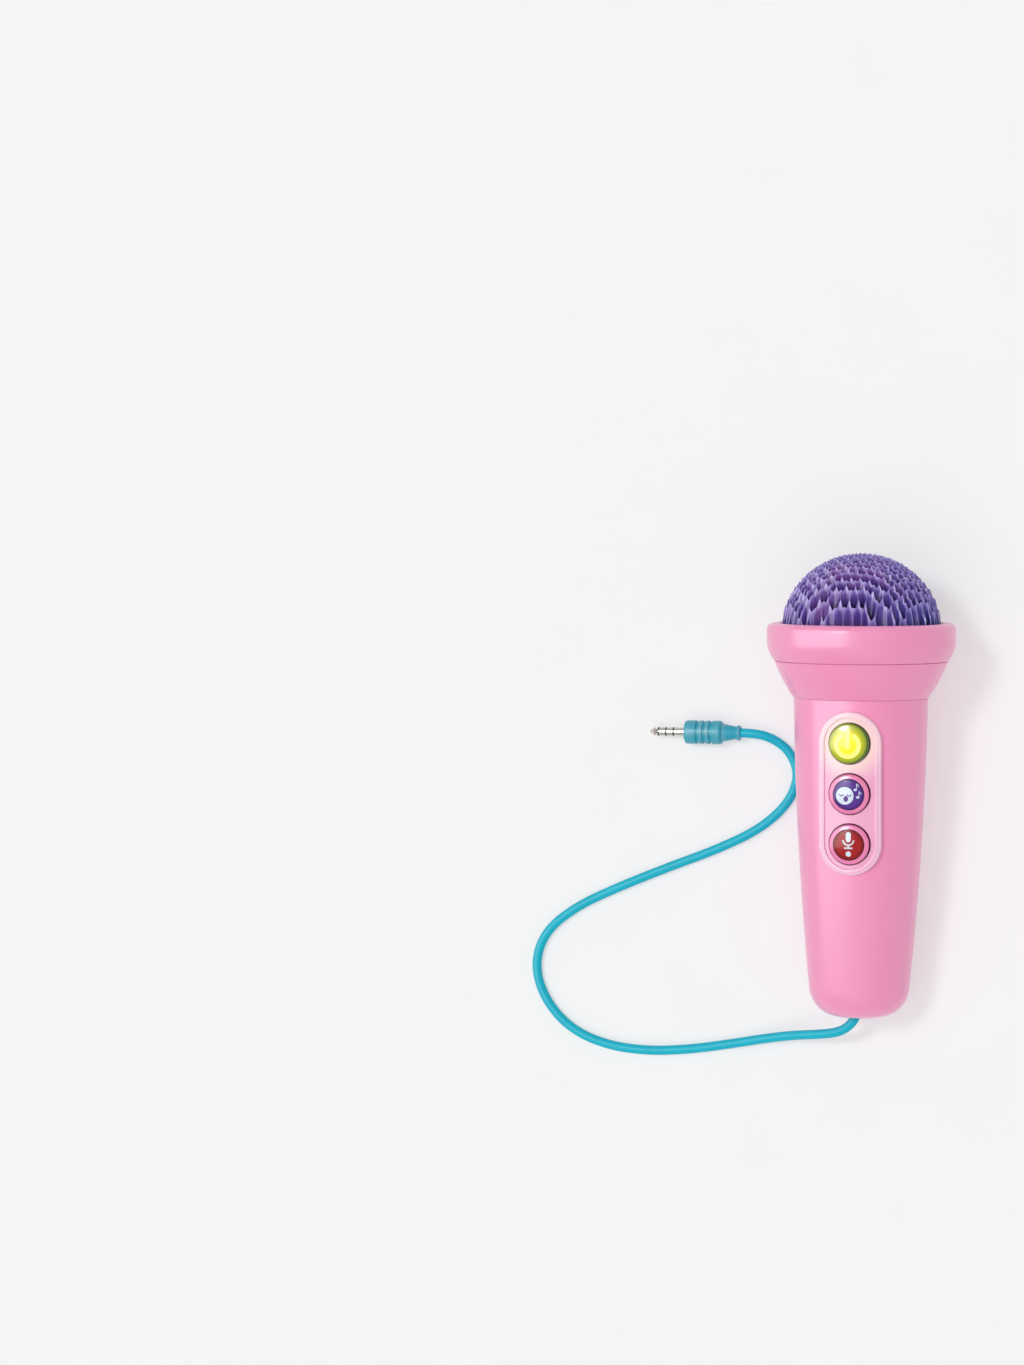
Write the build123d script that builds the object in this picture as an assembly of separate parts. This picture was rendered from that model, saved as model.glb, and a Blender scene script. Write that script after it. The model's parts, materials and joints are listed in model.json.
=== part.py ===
from build123d import *
import os
from math import cos, pi, radians, sin, tan

os.makedirs("parts", exist_ok=True)

# A child's toy microphone with three push buttons, lying on its back on a table.
# Its pieces are drawn upright about the handle's axis: Z runs from the handle's end to the
# grille, and the buttons face -Y. lay_down() turns the finished pieces to the resting
# position: +Y towards the grille, +Z up. The cord and its plug are drawn where they lie.
# All dimensions are in millimetres.

STANDING = (Align.CENTER, Align.CENTER, Align.MIN)

# Resting position
LIE_ANGLE = 7.22            # handle's axis above the table, in degrees
LIE_LIFT = 17.44            # puts the ring and the handle's end on the table
HALF_LENGTH = 86.46         # from the handle's end to the middle of the microphone

# Handle
LOWER_R = 18.9
UPPER_R = 25.2
SWELL = 1.15                # how far the side bows out between the two ends
END_FLAT_R = 8.4
END_CORNER = 10.5           # height of the rounded corner at the handle's end
SHOULDER_Z = 120.5
NECK_R = 23.2
NECK_TOP_Z = 129.4
WALL = 2.0
END_WALL = 3.2
SEAM = 0.12                 # gap between the two shells

# Cord entry
MOUTH_R = 5.4
THROAT_R = 2.3
EXIT_Z = 8.0                # the cord leaves the grommet here
MOUTH_WALL_R = 7.4
GROMMET_R = 5.0
GROMMET_TOP_Z = 13.8
GROOVE_R = 3.5
GROOVE_Z = (10.2, 11.8)
CLAMP_Z = 19.0
CLAMP_SIZE = (20.0, 2.0, 6.0)
CLAMP_SCREW_X = 7.0
INNER_CORD_TOP_Z = 28.0

# Collar, grille ring and grille
CUP_BORE_R = 23.35
CUP_FOOT = (25.4, 120.6)
CUP_SIDE = [(25.65, 120.85), (29.3, 127.0), (32.5, 134.15)]
CUP_LIP_Z = 134.35          # top of the cup beside the spigot
CUP_SHELF_R = 29.2          # the capsule mount's disc drops in here
SPIGOT_R = 31.5
SPIGOT_TOP_Z = 139.0
WEB_Z = (129.5, 131.5)
WEB_BORE_R = 14.0
BAND_R = 35.5
BAND_Z = (141.5, 146.1)
RING_SIDE = [(32.75, 134.5), (34.45, 137.4), (BAND_R, BAND_Z[0])]
RING_TOP_Z = 148.6
RING_BORE_R = 31.0
RING_LAND_Z = 141.4         # the ring's shoulder over the grille's flange
FLANGE_TOP_Z = 141.2        # top of the grille's flange
GRILLE_FLANGE_R = 31.4
GRILLE_HOLE_R = 2.0
GRILLE_HOLE_PITCH = 6.4
GRILLE_HOLE_RINGS = 4
DOME_Z = 144.4
DOME_R = 30.8
DOME_WALL = 2.4
FOAM_R = 26.2
FOAM_WALL = 3.7
COLLAR_SCREW_R = 18.2
COLLAR_SCREW_ANGLES = (50, 130, 230, 310)
COLLAR_BOSS_R = 3.2
COLLAR_BOSS_Z = 119.5

# Sound capsule and its holder
MOUNT_Z = (136.8, 138.8)
MOUNT_R = 29.0
MOUNT_TUBE = (6.8, 8.4)     # bore and outside of the tube
MOUNT_TOP_Z = 152.0
MOUNT_FLOOR_Z = (141.0, 142.5)
MOUNT_WIRE_HOLE_R = 3.0
CAPSULE_R = 4.85
CAPSULE_Z = (145.0, 151.7)
BOOT_R = 6.75
BOOT_BORE_R = 2.0
BOOT_TOP_Z = 152.5

# Button panel
PANEL_Z = 86.0
PANEL_LIFT = 0.9            # panel's centre above the handle's surface
PANEL_LEAN = 2.3            # degrees, along the handle's taper
BEZEL = (61.2, 23.3)
BEZEL_FIELD = (56.5, 18.9)
BEZEL_PLUG = (58.1, 20.6)
BEZEL_CAVITY = (55.7, 18.2)
PANEL_WINDOW = (58.3, 20.8)
CROWN_R = 40.0              # the panel's top curves across its width
RIM_HEIGHT = 0.5
RIM_ROUND = 1.0
RIM_INNER_ROUND = 0.35
FIELD_DEPTH = 0.8
CAVITY_TOP = -2.4
BUTTON_PITCH = 18.8
BUTTON_HOLE_R = 7.85
CAP_R = 7.45
FLANGE_R = 8.4
FLANGE = (-3.3, -2.45)
CAP_EDGE = 1.1
CAP_CROWN = 0.8
CAP_SKIRT_R = 6.2           # inside of the cap's hollow skirt
CAP_ROOF = -1.4             # underside of the cap's top
POST_R = 2.0
POST_END = -7.6
RECESS_FLOOR = 0.2
INLAY_R = 5.85

# Circuit board and keypad
BOARD = (26.0, 52.0)
BOARD_TAB = (12.0, 76.0)
BOARD_W = (-11.8, -10.2)
MAT = (14.0, 56.0)
MAT_BASE = 0.8
DOME_FOOT_R = 4.5
DOME_HEAD_R = 3.0
DOME_SKIN = 0.9             # thickness of a keypad dome's top
DOME_TOP_W = -7.65
BOARD_SCREW_Y = 34.0
CHIP_SPHERE_R = 14.5
CHIP_SINK = 12.7            # how much of that sphere is below the board's face
LED_X = 9.3
CONNECTOR = (10.0, 6.0, 5.0)
CAPSULE_CONNECTOR_Y = 27.0
CORD_CONNECTOR_Y = -26.0

# Case screws
CASE_SCREW_X = 12.0
CASE_SCREW_Z = (32.0, 116.0)
WELL_FLOOR_Y = 4.0
WELL_R = 4.1
WELL_BORE_R = 3.1
SCREW_R = 1.2
SCREW_HOLE_R = 1.4
PILOT_R = 1.22
HEAD_R = 2.6
CASE_BOSS_R = 3.0
SMALL_BOSS_R = 2.6          # board and clamp screws
CLAMP_SCREW_R = 0.95
CORD_REST_HEIGHT = 18.0

# Cord and plug
CORD_R = 1.8
LEAD_R = 0.35
PLUG_RELIEF_LENGTH = 7.0
PLUG_GRIP_LENGTH = 15.0
PLUG_GRIP_R = 4.6
JACK_R = 1.75
JACK_LENGTH = 14.0
JACK_START = PLUG_RELIEF_LENGTH + PLUG_GRIP_LENGTH
JACK_SLEEVE = (0.0, 4.2)
JACK_RING_2 = (4.8, 7.2)
JACK_RING_1 = (7.8, 10.2)
JACK_TIP_START = 10.8

# The cord's route over the table, from the grommet to the plug.
CORD_ROUTE = [
    (0.0, -78.52, 18.45),
    (0.0, -83.3, 17.84),
    (-1.3, -87.8, 17.1),
    (-4.1, -91.3, 16.1),
    (-8.5, -93.7, 14.5),
    (-15.8, -94.8, 11.8),
    (-26.5, -95.7, 7.2),
    (-38.5, -97.6, 3.4),
    (-53.0, -100.5, 1.85),
    (-69.0, -103.3, 1.8),
    (-86.0, -104.6, 1.8),
    (-102.5, -102.9, 1.8),
    (-117.0, -97.1, 1.8),
    (-127.5, -86.2, 1.8),
    (-132.2, -72.8, 1.8),
    (-128.4, -59.6, 1.8),
    (-116.0, -49.3, 1.8),
    (-99.5, -41.3, 1.8),
    (-80.0, -33.0, 1.8),
    (-60.0, -25.2, 1.8),
    (-43.3, -16.9, 1.8),
    (-32.2, -6.6, 1.8),
    (-28.3, 4.4, 1.8),
    (-32.0, 13.4, 2.0),
    (-38.2, 18.2, 3.4),
    (-45.0, 20.3, 4.6),
    (-51.5, 20.3, 4.6),
]


def side_radius(z):
    """Radius of the handle's outside at a height above its rounded end."""
    part = (z - END_CORNER) / (SHOULDER_Z - END_CORNER)
    return LOWER_R + (UPPER_R - LOWER_R) * part + 4 * SWELL * part * (1 - part)


def turned(edges):
    """Solid of revolution about the handle's axis; the outline is (radius, height)."""
    return revolve(Plane.XZ * make_face(Wire(edges)), Axis.Z)


def turned_points(points):
    """Solid of revolution from an outline of straight lines."""
    return turned(Polyline(*points, close=True).edges())


def rod(radius, start, end):
    """Round bar between two points."""
    axis = Vector(*end) - Vector(*start)
    return Plane(origin=start, z_dir=axis) * Cylinder(radius, axis.length, align=STANDING)


def oblong(size, low, high):
    """Slab with full round ends, long side along the panel, between two heights."""
    outline = SlotOverall(size[0], size[1], rotation=90)
    return Pos(0, 0, low) * extrude(outline, high - low)


PANEL = Plane(
    origin=(0, -(side_radius(PANEL_Z) + PANEL_LIFT), PANEL_Z),
    x_dir=(1, 0, 0),
    z_dir=(0, -cos(radians(PANEL_LEAN)), -sin(radians(PANEL_LEAN))),
)


def handle_body(inset, bottom, neck_r, top):
    """Filled handle, the given distance inside its outer surface."""
    corner_z = END_CORNER + inset / 2
    low = (LOWER_R - inset, corner_z)
    middle_z = (END_CORNER + SHOULDER_Z) / 2
    high_z = SHOULDER_Z - inset
    reach = LOWER_R - inset - END_FLAT_R
    rise = corner_z - bottom
    lean = (side_radius(END_CORNER + 1) - side_radius(END_CORNER)) * rise / 2
    return turned([
        *Polyline((0, bottom), (END_FLAT_R, bottom)).edges(),
        Bezier((END_FLAT_R, bottom), (END_FLAT_R + reach * 0.55, bottom),
               (low[0] - lean, corner_z - rise * 0.55), low),
        ThreePointArc(low, (side_radius(middle_z) - inset, middle_z), (side_radius(high_z) - inset, high_z)),
        *Polyline((side_radius(high_z) - inset, high_z), (neck_r, high_z), (neck_r, top), (0, top),
                  (0, bottom)).edges(),
    ])


def bell_mouth():
    """Flared opening that the cord passes through, so that it never bends over an edge."""
    return turned([
        Line((0, -0.5), (MOUTH_R + 0.5, -0.5)),
        Bezier((MOUTH_R + 0.5, -0.5), (THROAT_R + 0.9, 1.6), (THROAT_R + 0.1, EXIT_Z / 2), (THROAT_R, EXIT_Z)),
        *Polyline((THROAT_R, EXIT_Z), (THROAT_R, EXIT_Z + 0.1), (0, EXIT_Z + 0.1), (0, -0.5)).edges(),
    ])


def whole_case():
    """Both shells in one: the outer surface, the hollow, the mouth and the grommet's web."""
    case = handle_body(0, 0, NECK_R, NECK_TOP_Z)
    case -= handle_body(WALL, END_WALL, NECK_R - WALL, NECK_TOP_Z + 1)
    case += Cylinder(MOUTH_WALL_R, EXIT_Z, align=STANDING) & handle_body(WALL / 2, 0, NECK_R, NECK_TOP_Z)
    web = Pos(0, 0, GROOVE_Z[0] + 0.1) * Cylinder(LOWER_R, GROOVE_Z[1] - GROOVE_Z[0] - 0.2, align=STANDING)
    web -= Cylinder(GROOVE_R + 0.1, 3 * EXIT_Z, align=STANDING)
    case += web & handle_body(WALL / 2, END_WALL, NECK_R - WALL, NECK_TOP_Z)
    return case - bell_mouth()


def half(side):
    """Half space in front of the seam (side -1) or behind it (side +1)."""
    size = 300
    return Pos(0, side * (size + SEAM) / 2, 0) * Box(size, size, size)


def inside_case():
    """Space that bosses may fill: up to the middle of the wall."""
    return handle_body(WALL / 2, END_WALL / 2, NECK_R - WALL / 2, NECK_TOP_Z)


def case_screw_places():
    return [(x, z) for z in CASE_SCREW_Z for x in (-CASE_SCREW_X, CASE_SCREW_X)]


def collar_screw_places(side):
    places = []
    for angle in COLLAR_SCREW_ANGLES:
        x, y = COLLAR_SCREW_R * cos(radians(angle)), COLLAR_SCREW_R * sin(radians(angle))
        if y * side > 0:
            places.append((x, y))
    return places


def collar_bosses(side):
    height = NECK_TOP_Z - COLLAR_BOSS_Z
    bosses = [Pos(x, y, COLLAR_BOSS_Z) * Cylinder(COLLAR_BOSS_R, height, align=STANDING)
              for x, y in collar_screw_places(side)]
    return Part() + bosses


def collar_pilots(side):
    pilots = [Pos(x, y, COLLAR_BOSS_Z + 1) * Cylinder(PILOT_R, 10, align=STANDING)
              for x, y in collar_screw_places(side)]
    return Part() + pilots


def front_shell():
    """Front half of the handle, with the panel window and the bosses that hold the insides."""
    bosses = collar_bosses(-1)
    pilots = collar_pilots(-1)
    for x, z in case_screw_places():
        bosses += rod(CASE_BOSS_R, (x, -SEAM / 2, z), (x, -30, z))
        pilots += rod(PILOT_R, (x, 1, z), (x, -10, z))
    for x in (-CLAMP_SCREW_X, CLAMP_SCREW_X):
        bosses += rod(SMALL_BOSS_R, (x, CORD_R, CLAMP_Z), (x, -30, CLAMP_Z))
        pilots += rod(CLAMP_SCREW_R + 0.02, (x, 3, CLAMP_Z), (x, -6, CLAMP_Z))
    rest = Box(CLAMP_SIZE[2], CORD_REST_HEIGHT, CLAMP_SIZE[2])
    bosses += Pos(0, -CORD_R - 0.05 - CORD_REST_HEIGHT / 2, CLAMP_Z) * rest
    for y in (-BOARD_SCREW_Y, BOARD_SCREW_Y):
        bosses += PANEL * Pos(0, y, BOARD_W[1]) * Cylinder(SMALL_BOSS_R, 12, align=STANDING)
        pilots += PANEL * Pos(0, y, BOARD_W[1] - 1) * Cylinder(PILOT_R, 7, align=STANDING)
    shell = (whole_case() & half(-1)) + (bosses & inside_case())
    return shell - pilots - PANEL * oblong(PANEL_WINDOW, -9, 6)


def rear_shell():
    """Plain back half of the handle; four wells take the case screws."""
    wells = collar_bosses(1)
    holes = collar_pilots(1)
    for x, z in case_screw_places():
        wells += rod(WELL_R, (x, SEAM / 2, z), (x, 30, z))
        holes += rod(WELL_BORE_R, (x, WELL_FLOOR_Y, z), (x, 40, z))
        holes += rod(SCREW_HOLE_R, (x, -1, z), (x, 10, z))
    return (whole_case() & half(1)) + (wells & inside_case()) - holes


def crossed_head(radius, height):
    """Pan head with a cross recess, standing on its bearing face."""
    head = Cylinder(radius, height, align=STANDING)
    head = fillet(head.edges().group_by(Axis.Z)[-1], height * 0.35)
    cross = Box(radius * 1.1, 0.55, height) + Box(0.55, radius * 1.1, height)
    return head - Pos(0, 0, height) * cross


def screw(head_r, head_height, shank_r, shank_length):
    """Self-tapping screw along Z: bearing face at zero, point down."""
    point = Pos(0, 0, -shank_length) * Cone(shank_r * 0.3, shank_r, 1.2, align=STANDING)
    shank = Pos(0, 0, 1.2 - shank_length) * Cylinder(shank_r, shank_length - 1.2, align=STANDING)
    return crossed_head(head_r, head_height) + shank + point


def rearward(x, y, z):
    """Place of a screw that is driven in from the back."""
    return Plane(origin=(x, y, z), x_dir=(1, 0, 0), z_dir=(0, 1, 0))


def case_screws():
    return Part() + [rearward(x, WELL_FLOOR_Y, z) * screw(HEAD_R, 2.0, SCREW_R, 13.0)
                     for x, z in case_screw_places()]


def collar_screws():
    places = collar_screw_places(-1) + collar_screw_places(1)
    return Part() + [Pos(x, y, WEB_Z[1]) * screw(HEAD_R, 2.0, SCREW_R, 10.5) for x, y in places]


def clamp_screws():
    top = CORD_R + 0.05 + CLAMP_SIZE[1]
    return Part() + [rearward(x, top, CLAMP_Z) * screw(1.9, 1.5, CLAMP_SCREW_R, 8.5)
                     for x in (-CLAMP_SCREW_X, CLAMP_SCREW_X)]


def board_screws():
    under = [PANEL * Pos(0, y, BOARD_W[0]) * Rot(180, 0, 0) * screw(2.4, 1.6, SCREW_R, 7.0)
             for y in (-BOARD_SCREW_Y, BOARD_SCREW_Y)]
    return Part() + under


def collar_cup():
    """Flared cup between handle and grille, moulded with the spigot that the ring is pushed on."""
    cup = turned([
        *Polyline((CUP_BORE_R, CUP_FOOT[1]), CUP_FOOT, CUP_SIDE[0]).edges(),
        ThreePointArc(*CUP_SIDE),
        *Polyline(CUP_SIDE[-1], (CUP_SIDE[-1][0] - 0.2, CUP_LIP_Z), (SPIGOT_R, CUP_LIP_Z),
                  (SPIGOT_R, SPIGOT_TOP_Z), (CUP_SHELF_R, SPIGOT_TOP_Z), (CUP_SHELF_R, MOUNT_Z[0]),
                  (CUP_SHELF_R - 1.7, MOUNT_Z[0]), (CUP_FOOT[0], WEB_Z[1]), (WEB_BORE_R, WEB_Z[1]),
                  (WEB_BORE_R, WEB_Z[0]), (CUP_BORE_R, WEB_Z[0]), (CUP_BORE_R, CUP_FOOT[1])).edges(),
    ])
    for x, y in collar_screw_places(-1) + collar_screw_places(1):
        cup -= Pos(x, y, WEB_Z[0] - 1) * Cylinder(1.5, 4, align=STANDING)
    return cup


def grille_ring():
    """Smooth band round the foot of the grille; its shoulder holds the grille's flange down."""
    corner = RING_TOP_Z - BAND_Z[1]
    inner_x = BAND_R - corner
    mid = corner * (1 - cos(pi / 4))
    return turned([
        ThreePointArc(*RING_SIDE),
        Line(RING_SIDE[-1], (BAND_R, BAND_Z[1])),
        ThreePointArc((BAND_R, BAND_Z[1]), (BAND_R - mid, RING_TOP_Z - mid), (inner_x, RING_TOP_Z)),
        *Polyline((inner_x, RING_TOP_Z), (RING_BORE_R + 0.4, RING_TOP_Z), (RING_BORE_R, RING_TOP_Z - 0.4),
                  (RING_BORE_R, RING_LAND_Z), (SPIGOT_R + 0.1, RING_LAND_Z),
                  (SPIGOT_R + 0.1, RING_SIDE[0][1]), RING_SIDE[0]).edges(),
    ])


def bowl_outline(radius, top_down=False):
    """Quarter circle of the grille's sphere, from its edge to its top."""
    diagonal = radius * cos(pi / 4)
    points = [(radius, DOME_Z), (diagonal, DOME_Z + diagonal), (0, DOME_Z + radius)]
    return ThreePointArc(*(points[::-1] if top_down else points))


def grille_dome():
    """Open grille: a domed shell full of holes along the microphone's axis, with a flange below."""
    inner = DOME_R - DOME_WALL
    foot = SPIGOT_TOP_Z + 0.1
    shell = turned([
        *Polyline((inner, DOME_Z), (inner, foot), (GRILLE_FLANGE_R, foot), (GRILLE_FLANGE_R, FLANGE_TOP_Z),
                  (DOME_R, FLANGE_TOP_Z), (DOME_R, DOME_Z)).edges(),
        bowl_outline(DOME_R),
        Line((0, DOME_Z + DOME_R), (0, DOME_Z + inner)),
        bowl_outline(inner, top_down=True),
    ])
    drill = Pos(0, 0, DOME_Z) * Cylinder(GRILLE_HOLE_R, 40, align=STANDING)
    holes = [drill]
    for ring in range(1, GRILLE_HOLE_RINGS + 1):
        count = 6 * ring
        holes += [Rot(0, 0, 360 * step / count) * Pos(GRILLE_HOLE_PITCH * ring, 0, 0) * drill
                  for step in range(count)]
    return shell - holes


def foam_liner():
    """Soft foam bowl behind the grille."""
    inner = FOAM_R - FOAM_WALL
    foot = MOUNT_Z[1] + 0.1
    return turned([
        *Polyline((inner, DOME_Z), (inner, foot), (FOAM_R, foot), (FOAM_R, DOME_Z)).edges(),
        bowl_outline(FOAM_R),
        Line((0, DOME_Z + FOAM_R), (0, DOME_Z + inner)),
        bowl_outline(inner, top_down=True),
    ])


def capsule_mount():
    """Disc across the collar with a tube for the sound capsule."""
    bore, outside = MOUNT_TUBE
    under, floor = MOUNT_FLOOR_Z
    return turned_points([
        (MOUNT_R, MOUNT_Z[0]), (MOUNT_R, MOUNT_Z[1]), (outside, MOUNT_Z[1]), (outside, MOUNT_TOP_Z),
        (bore, MOUNT_TOP_Z), (bore, floor), (MOUNT_WIRE_HOLE_R, floor), (MOUNT_WIRE_HOLE_R, under),
        (bore, under), (bore, MOUNT_Z[0]),
    ])


def capsule_boot():
    """Rubber sleeve that keeps handling noise away from the capsule."""
    bore = CAPSULE_R + 0.05
    seat = CAPSULE_Z[0] - 0.1
    foot = MOUNT_FLOOR_Z[1]
    return turned_points([
        (BOOT_BORE_R, foot), (BOOT_R, foot), (BOOT_R, BOOT_TOP_Z), (bore, BOOT_TOP_Z), (bore, seat),
        (BOOT_BORE_R, seat),
    ])


def mic_capsule():
    low, high = CAPSULE_Z
    can = Pos(0, 0, low) * Cylinder(CAPSULE_R, high - low, align=STANDING)
    can = fillet(can.edges().group_by(Axis.Z)[-1], 0.5)
    return can - Pos(0, 0, high) * Cylinder(1.0, 1.0)


def wire(radius, points, bend):
    """Insulated wire along straight stretches with round bends."""
    path = FilletPolyline(*points, radius=bend)
    start = Plane(origin=points[0], z_dir=Vector(*points[1]) - Vector(*points[0]))
    return sweep(start * Circle(radius), path=path)


def panel_point(x, y, w):
    """Point given on the panel, in the microphone's own axes."""
    return tuple(PANEL.from_local_coords((x, y, w)))


def capsule_leads():
    top = panel_point(0, CAPSULE_CONNECTOR_Y + CONNECTOR[1] / 2, BOARD_W[0] - CONNECTOR[2] / 2)
    return Part() + [
        wire(0.5, [(x, 0, CAPSULE_Z[0]), (x, 0, 127), (x, top[1], 121), (x, top[1], top[2] + 0.05)], 2.5)
        for x in (-1.0, 1.0)
    ]


def cord_leads():
    """Four cores of the cord, fanned out to their connector."""
    low = panel_point(0, CORD_CONNECTOR_Y - CONNECTOR[1] / 2, BOARD_W[0] - CONNECTOR[2] / 2)
    cores = [(-0.5, -0.5, -2.25), (-0.5, 0.5, -0.75), (0.5, 0.5, 0.75), (0.5, -0.5, 2.25)]
    return Part() + [
        wire(LEAD_R, [(x, y, INNER_CORD_TOP_Z), (x, y, INNER_CORD_TOP_Z + 6), (end_x, low[1], low[2] - 8),
                      (end_x, low[1], low[2] - 0.05)], 2.5)
        for x, y, end_x in cores
    ]


def cord_inner_end():
    """The cord's jacket inside the handle, through grommet and clamp."""
    return rod(CORD_R, (0, 0, EXIT_Z), (0, 0, INNER_CORD_TOP_Z))


def cord_grommet():
    bore = CORD_R + 0.02
    return turned_points([
        (bore, EXIT_Z), (GROMMET_R, EXIT_Z), (GROMMET_R, GROOVE_Z[0]), (GROOVE_R, GROOVE_Z[0]),
        (GROOVE_R, GROOVE_Z[1]), (GROMMET_R, GROOVE_Z[1]), (GROMMET_R, GROMMET_TOP_Z), (bore, GROMMET_TOP_Z),
    ])


def cord_clamp():
    """Bar screwed down over the cord, so that a pull on it never reaches the wires."""
    width, thickness, height = CLAMP_SIZE
    bar = Pos(0, CORD_R + 0.05 + thickness / 2, CLAMP_Z) * Box(width, thickness, height)
    bar = fillet(bar.edges().filter_by(Axis.Y), 2.0)
    for x in (-CLAMP_SCREW_X, CLAMP_SCREW_X):
        bar -= rod(1.1, (x, 0, CLAMP_Z), (x, 10, CLAMP_Z))
    return bar


def crown(radius):
    """Round bar along the panel whose top is the crowned surface at the given radius."""
    return Pos(0, 0, RIM_HEIGHT - CROWN_R) * Rot(90, 0, 0) * Cylinder(radius, 100)


def button_places():
    return {"power": BUTTON_PITCH, "voice": 0.0, "record": -BUTTON_PITCH}


def panel_bezel():
    """Oblong frame set in the front shell's window; the buttons come up through it."""
    slab = oblong(BEZEL, -8, 4) & crown(CROWN_R)
    slab = fillet([edge for edge in slab.edges() if edge.center().Z > -3], RIM_ROUND)
    pocket = oblong(BEZEL_FIELD, -1.9, 4) - crown(CROWN_R - FIELD_DEPTH)
    rim = slab - pocket
    inner_edges = [edge for edge in new_edges(slab, pocket, combined=rim) if edge.center().Z > -0.9]
    rim = fillet(inner_edges, RIM_INNER_ROUND)
    lip = PANEL * rim - handle_body(-0.03, -1, NECK_R, NECK_TOP_Z)
    bezel = lip + PANEL * oblong(BEZEL_PLUG, -5, -1.9)
    bezel -= PANEL * oblong(BEZEL_CAVITY, -5.5, CAVITY_TOP)
    for y in button_places().values():
        bezel -= PANEL * Pos(0, y, -6) * Cylinder(BUTTON_HOLE_R, 10, align=STANDING)
    return bezel


def button_cap(recess):
    """Button with a guide flange under the bezel, a hollow skirt and a post that works the keypad."""
    edge = CAP_R - 0.7
    outline = [
        ThreePointArc((0, CAP_EDGE + CAP_CROWN), (edge / 2, CAP_EDGE + CAP_CROWN * 0.75), (edge, CAP_EDGE)),
        ThreePointArc((edge, CAP_EDGE), (CAP_R - 0.18, CAP_EDGE - 0.28), (CAP_R, CAP_EDGE - 0.8)),
        *Polyline((CAP_R, CAP_EDGE - 0.8), (CAP_R, FLANGE[1]), (FLANGE_R, FLANGE[1]), (FLANGE_R, FLANGE[0]),
                  (CAP_SKIRT_R, FLANGE[0]), (CAP_SKIRT_R, CAP_ROOF), (POST_R, CAP_ROOF), (POST_R, POST_END),
                  (0, POST_END), (0, CAP_EDGE + CAP_CROWN)).edges(),
    ]
    cap = turned(outline)
    if recess:
        cap -= Pos(0, 0, RECESS_FLOOR) * Cylinder(INLAY_R + 0.05, 5, align=STANDING)
    return cap


def button_inlay():
    """Domed insert glued in the recess of a button."""
    edge = INLAY_R - 0.35
    top = CAP_EDGE + CAP_CROWN + 0.1
    foot = RECESS_FLOOR + 0.02
    return turned([
        ThreePointArc((0, top), (edge / 2, top - 0.12), (edge, top - 0.5)),
        ThreePointArc((edge, top - 0.5), (INLAY_R - 0.1, top - 0.62), (INLAY_R, top - 0.85)),
        *Polyline((INLAY_R, top - 0.85), (INLAY_R, foot), (0, foot), (0, top)).edges(),
    ])


def keypad_mat():
    """Silicone sheet with three hollow domes that push the buttons back up."""
    low = BOARD_W[1]
    base = low + MAT_BASE
    mat = Pos(0, 0, low) * extrude(RectangleRounded(*MAT, 3.0), MAT_BASE)
    for y in button_places().values():
        place = Pos(0, y, base)
        mat += place * Cone(DOME_FOOT_R, DOME_HEAD_R, DOME_TOP_W - base, align=STANDING)
        hollow = Cone(DOME_FOOT_R - 0.3, DOME_HEAD_R - 0.6, DOME_TOP_W - DOME_SKIN - low, align=STANDING)
        mat -= Pos(0, y, low) * hollow
    return PANEL * mat


def button_board():
    plate = extrude(Rectangle(*BOARD) + Rectangle(*BOARD_TAB), BOARD_W[1] - BOARD_W[0])
    for y in (-BOARD_SCREW_Y, BOARD_SCREW_Y):
        plate -= Pos(0, y, -1) * Cylinder(1.4, 5, align=STANDING)
    return PANEL * Pos(0, 0, BOARD_W[0]) * plate


def behind_board(x, y, shape):
    """A component on the board's rear face; the shape stands on its own z = 0."""
    return PANEL * Pos(x, y, BOARD_W[0]) * Rot(180, 0, 0) * shape


def board_chip():
    """Black resin drop over the sound chip."""
    drop = Sphere(CHIP_SPHERE_R) - Pos(0, 0, CHIP_SINK - 20) * Box(40, 40, 40)
    return behind_board(0, 4, Pos(0, 0, -CHIP_SINK) * drop)


def board_components():
    resistors = [(-9, 18), (-9, 14), (-9, 10), (9, 12), (9, -10), (-9, -12), (-9, -16), (4, -14)]
    parts = [behind_board(x, y, Box(1.25, 2.0, 0.55, align=STANDING)) for x, y in resistors]
    parts += [behind_board(x, y, Cylinder(2.0, 5.4, align=STANDING)) for x, y in [(9, 20), (9, -19)]]
    return Part() + parts


def power_leds():
    lamp = Box(3.2, 1.6, 1.4, align=STANDING)
    return Part() + [PANEL * Pos(x, BUTTON_PITCH, BOARD_W[1]) * lamp for x in (-LED_X, LED_X)]


def connector(y):
    """Wire-to-board connector on the rear face."""
    return behind_board(0, y, Box(*CONNECTOR, align=STANDING))


def lay_down(shape):
    """Turn an upright piece to where it rests: ring and handle's end on the table."""
    return Location((0, -HALF_LENGTH, LIE_LIFT)) * Rot(LIE_ANGLE - 90, 0, 0) * shape


def corner_radii():
    """Bend radius at each inner point of the cord's route: as large as its two runs allow."""
    route = [Vector(*point) for point in CORD_ROUTE]
    runs = [after - before for before, after in zip(route, route[1:])]
    radii = []
    for run, after in zip(runs, runs[1:]):
        half_turn = radians(run.get_angle(after)) / 2
        radii.append(0.45 * min(run.length, after.length) / tan(half_turn))
    return radii


def cord():
    radii = corner_radii()
    path = FilletPolyline(*CORD_ROUTE, radius=radii)
    start = Plane(origin=CORD_ROUTE[0], z_dir=Vector(*CORD_ROUTE[1]) - Vector(*CORD_ROUTE[0]))
    tube = sweep(start * Circle(CORD_R), path=path)
    print("cord bend radii:", [round(radius, 1) for radius in radii])
    print("cord length:", round(path.length, 1), "volume over section:", round(tube.volume / (pi * CORD_R**2), 1))
    return tube


def along_plug(start, shape):
    """Place on the plug's axis, measured from the cord's end towards the jack's tip."""
    x, y, z = CORD_ROUTE[-1]
    return Plane(origin=(x - start, y, z), x_dir=(0, 1, 0), z_dir=(-1, 0, 0)) * shape


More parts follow.
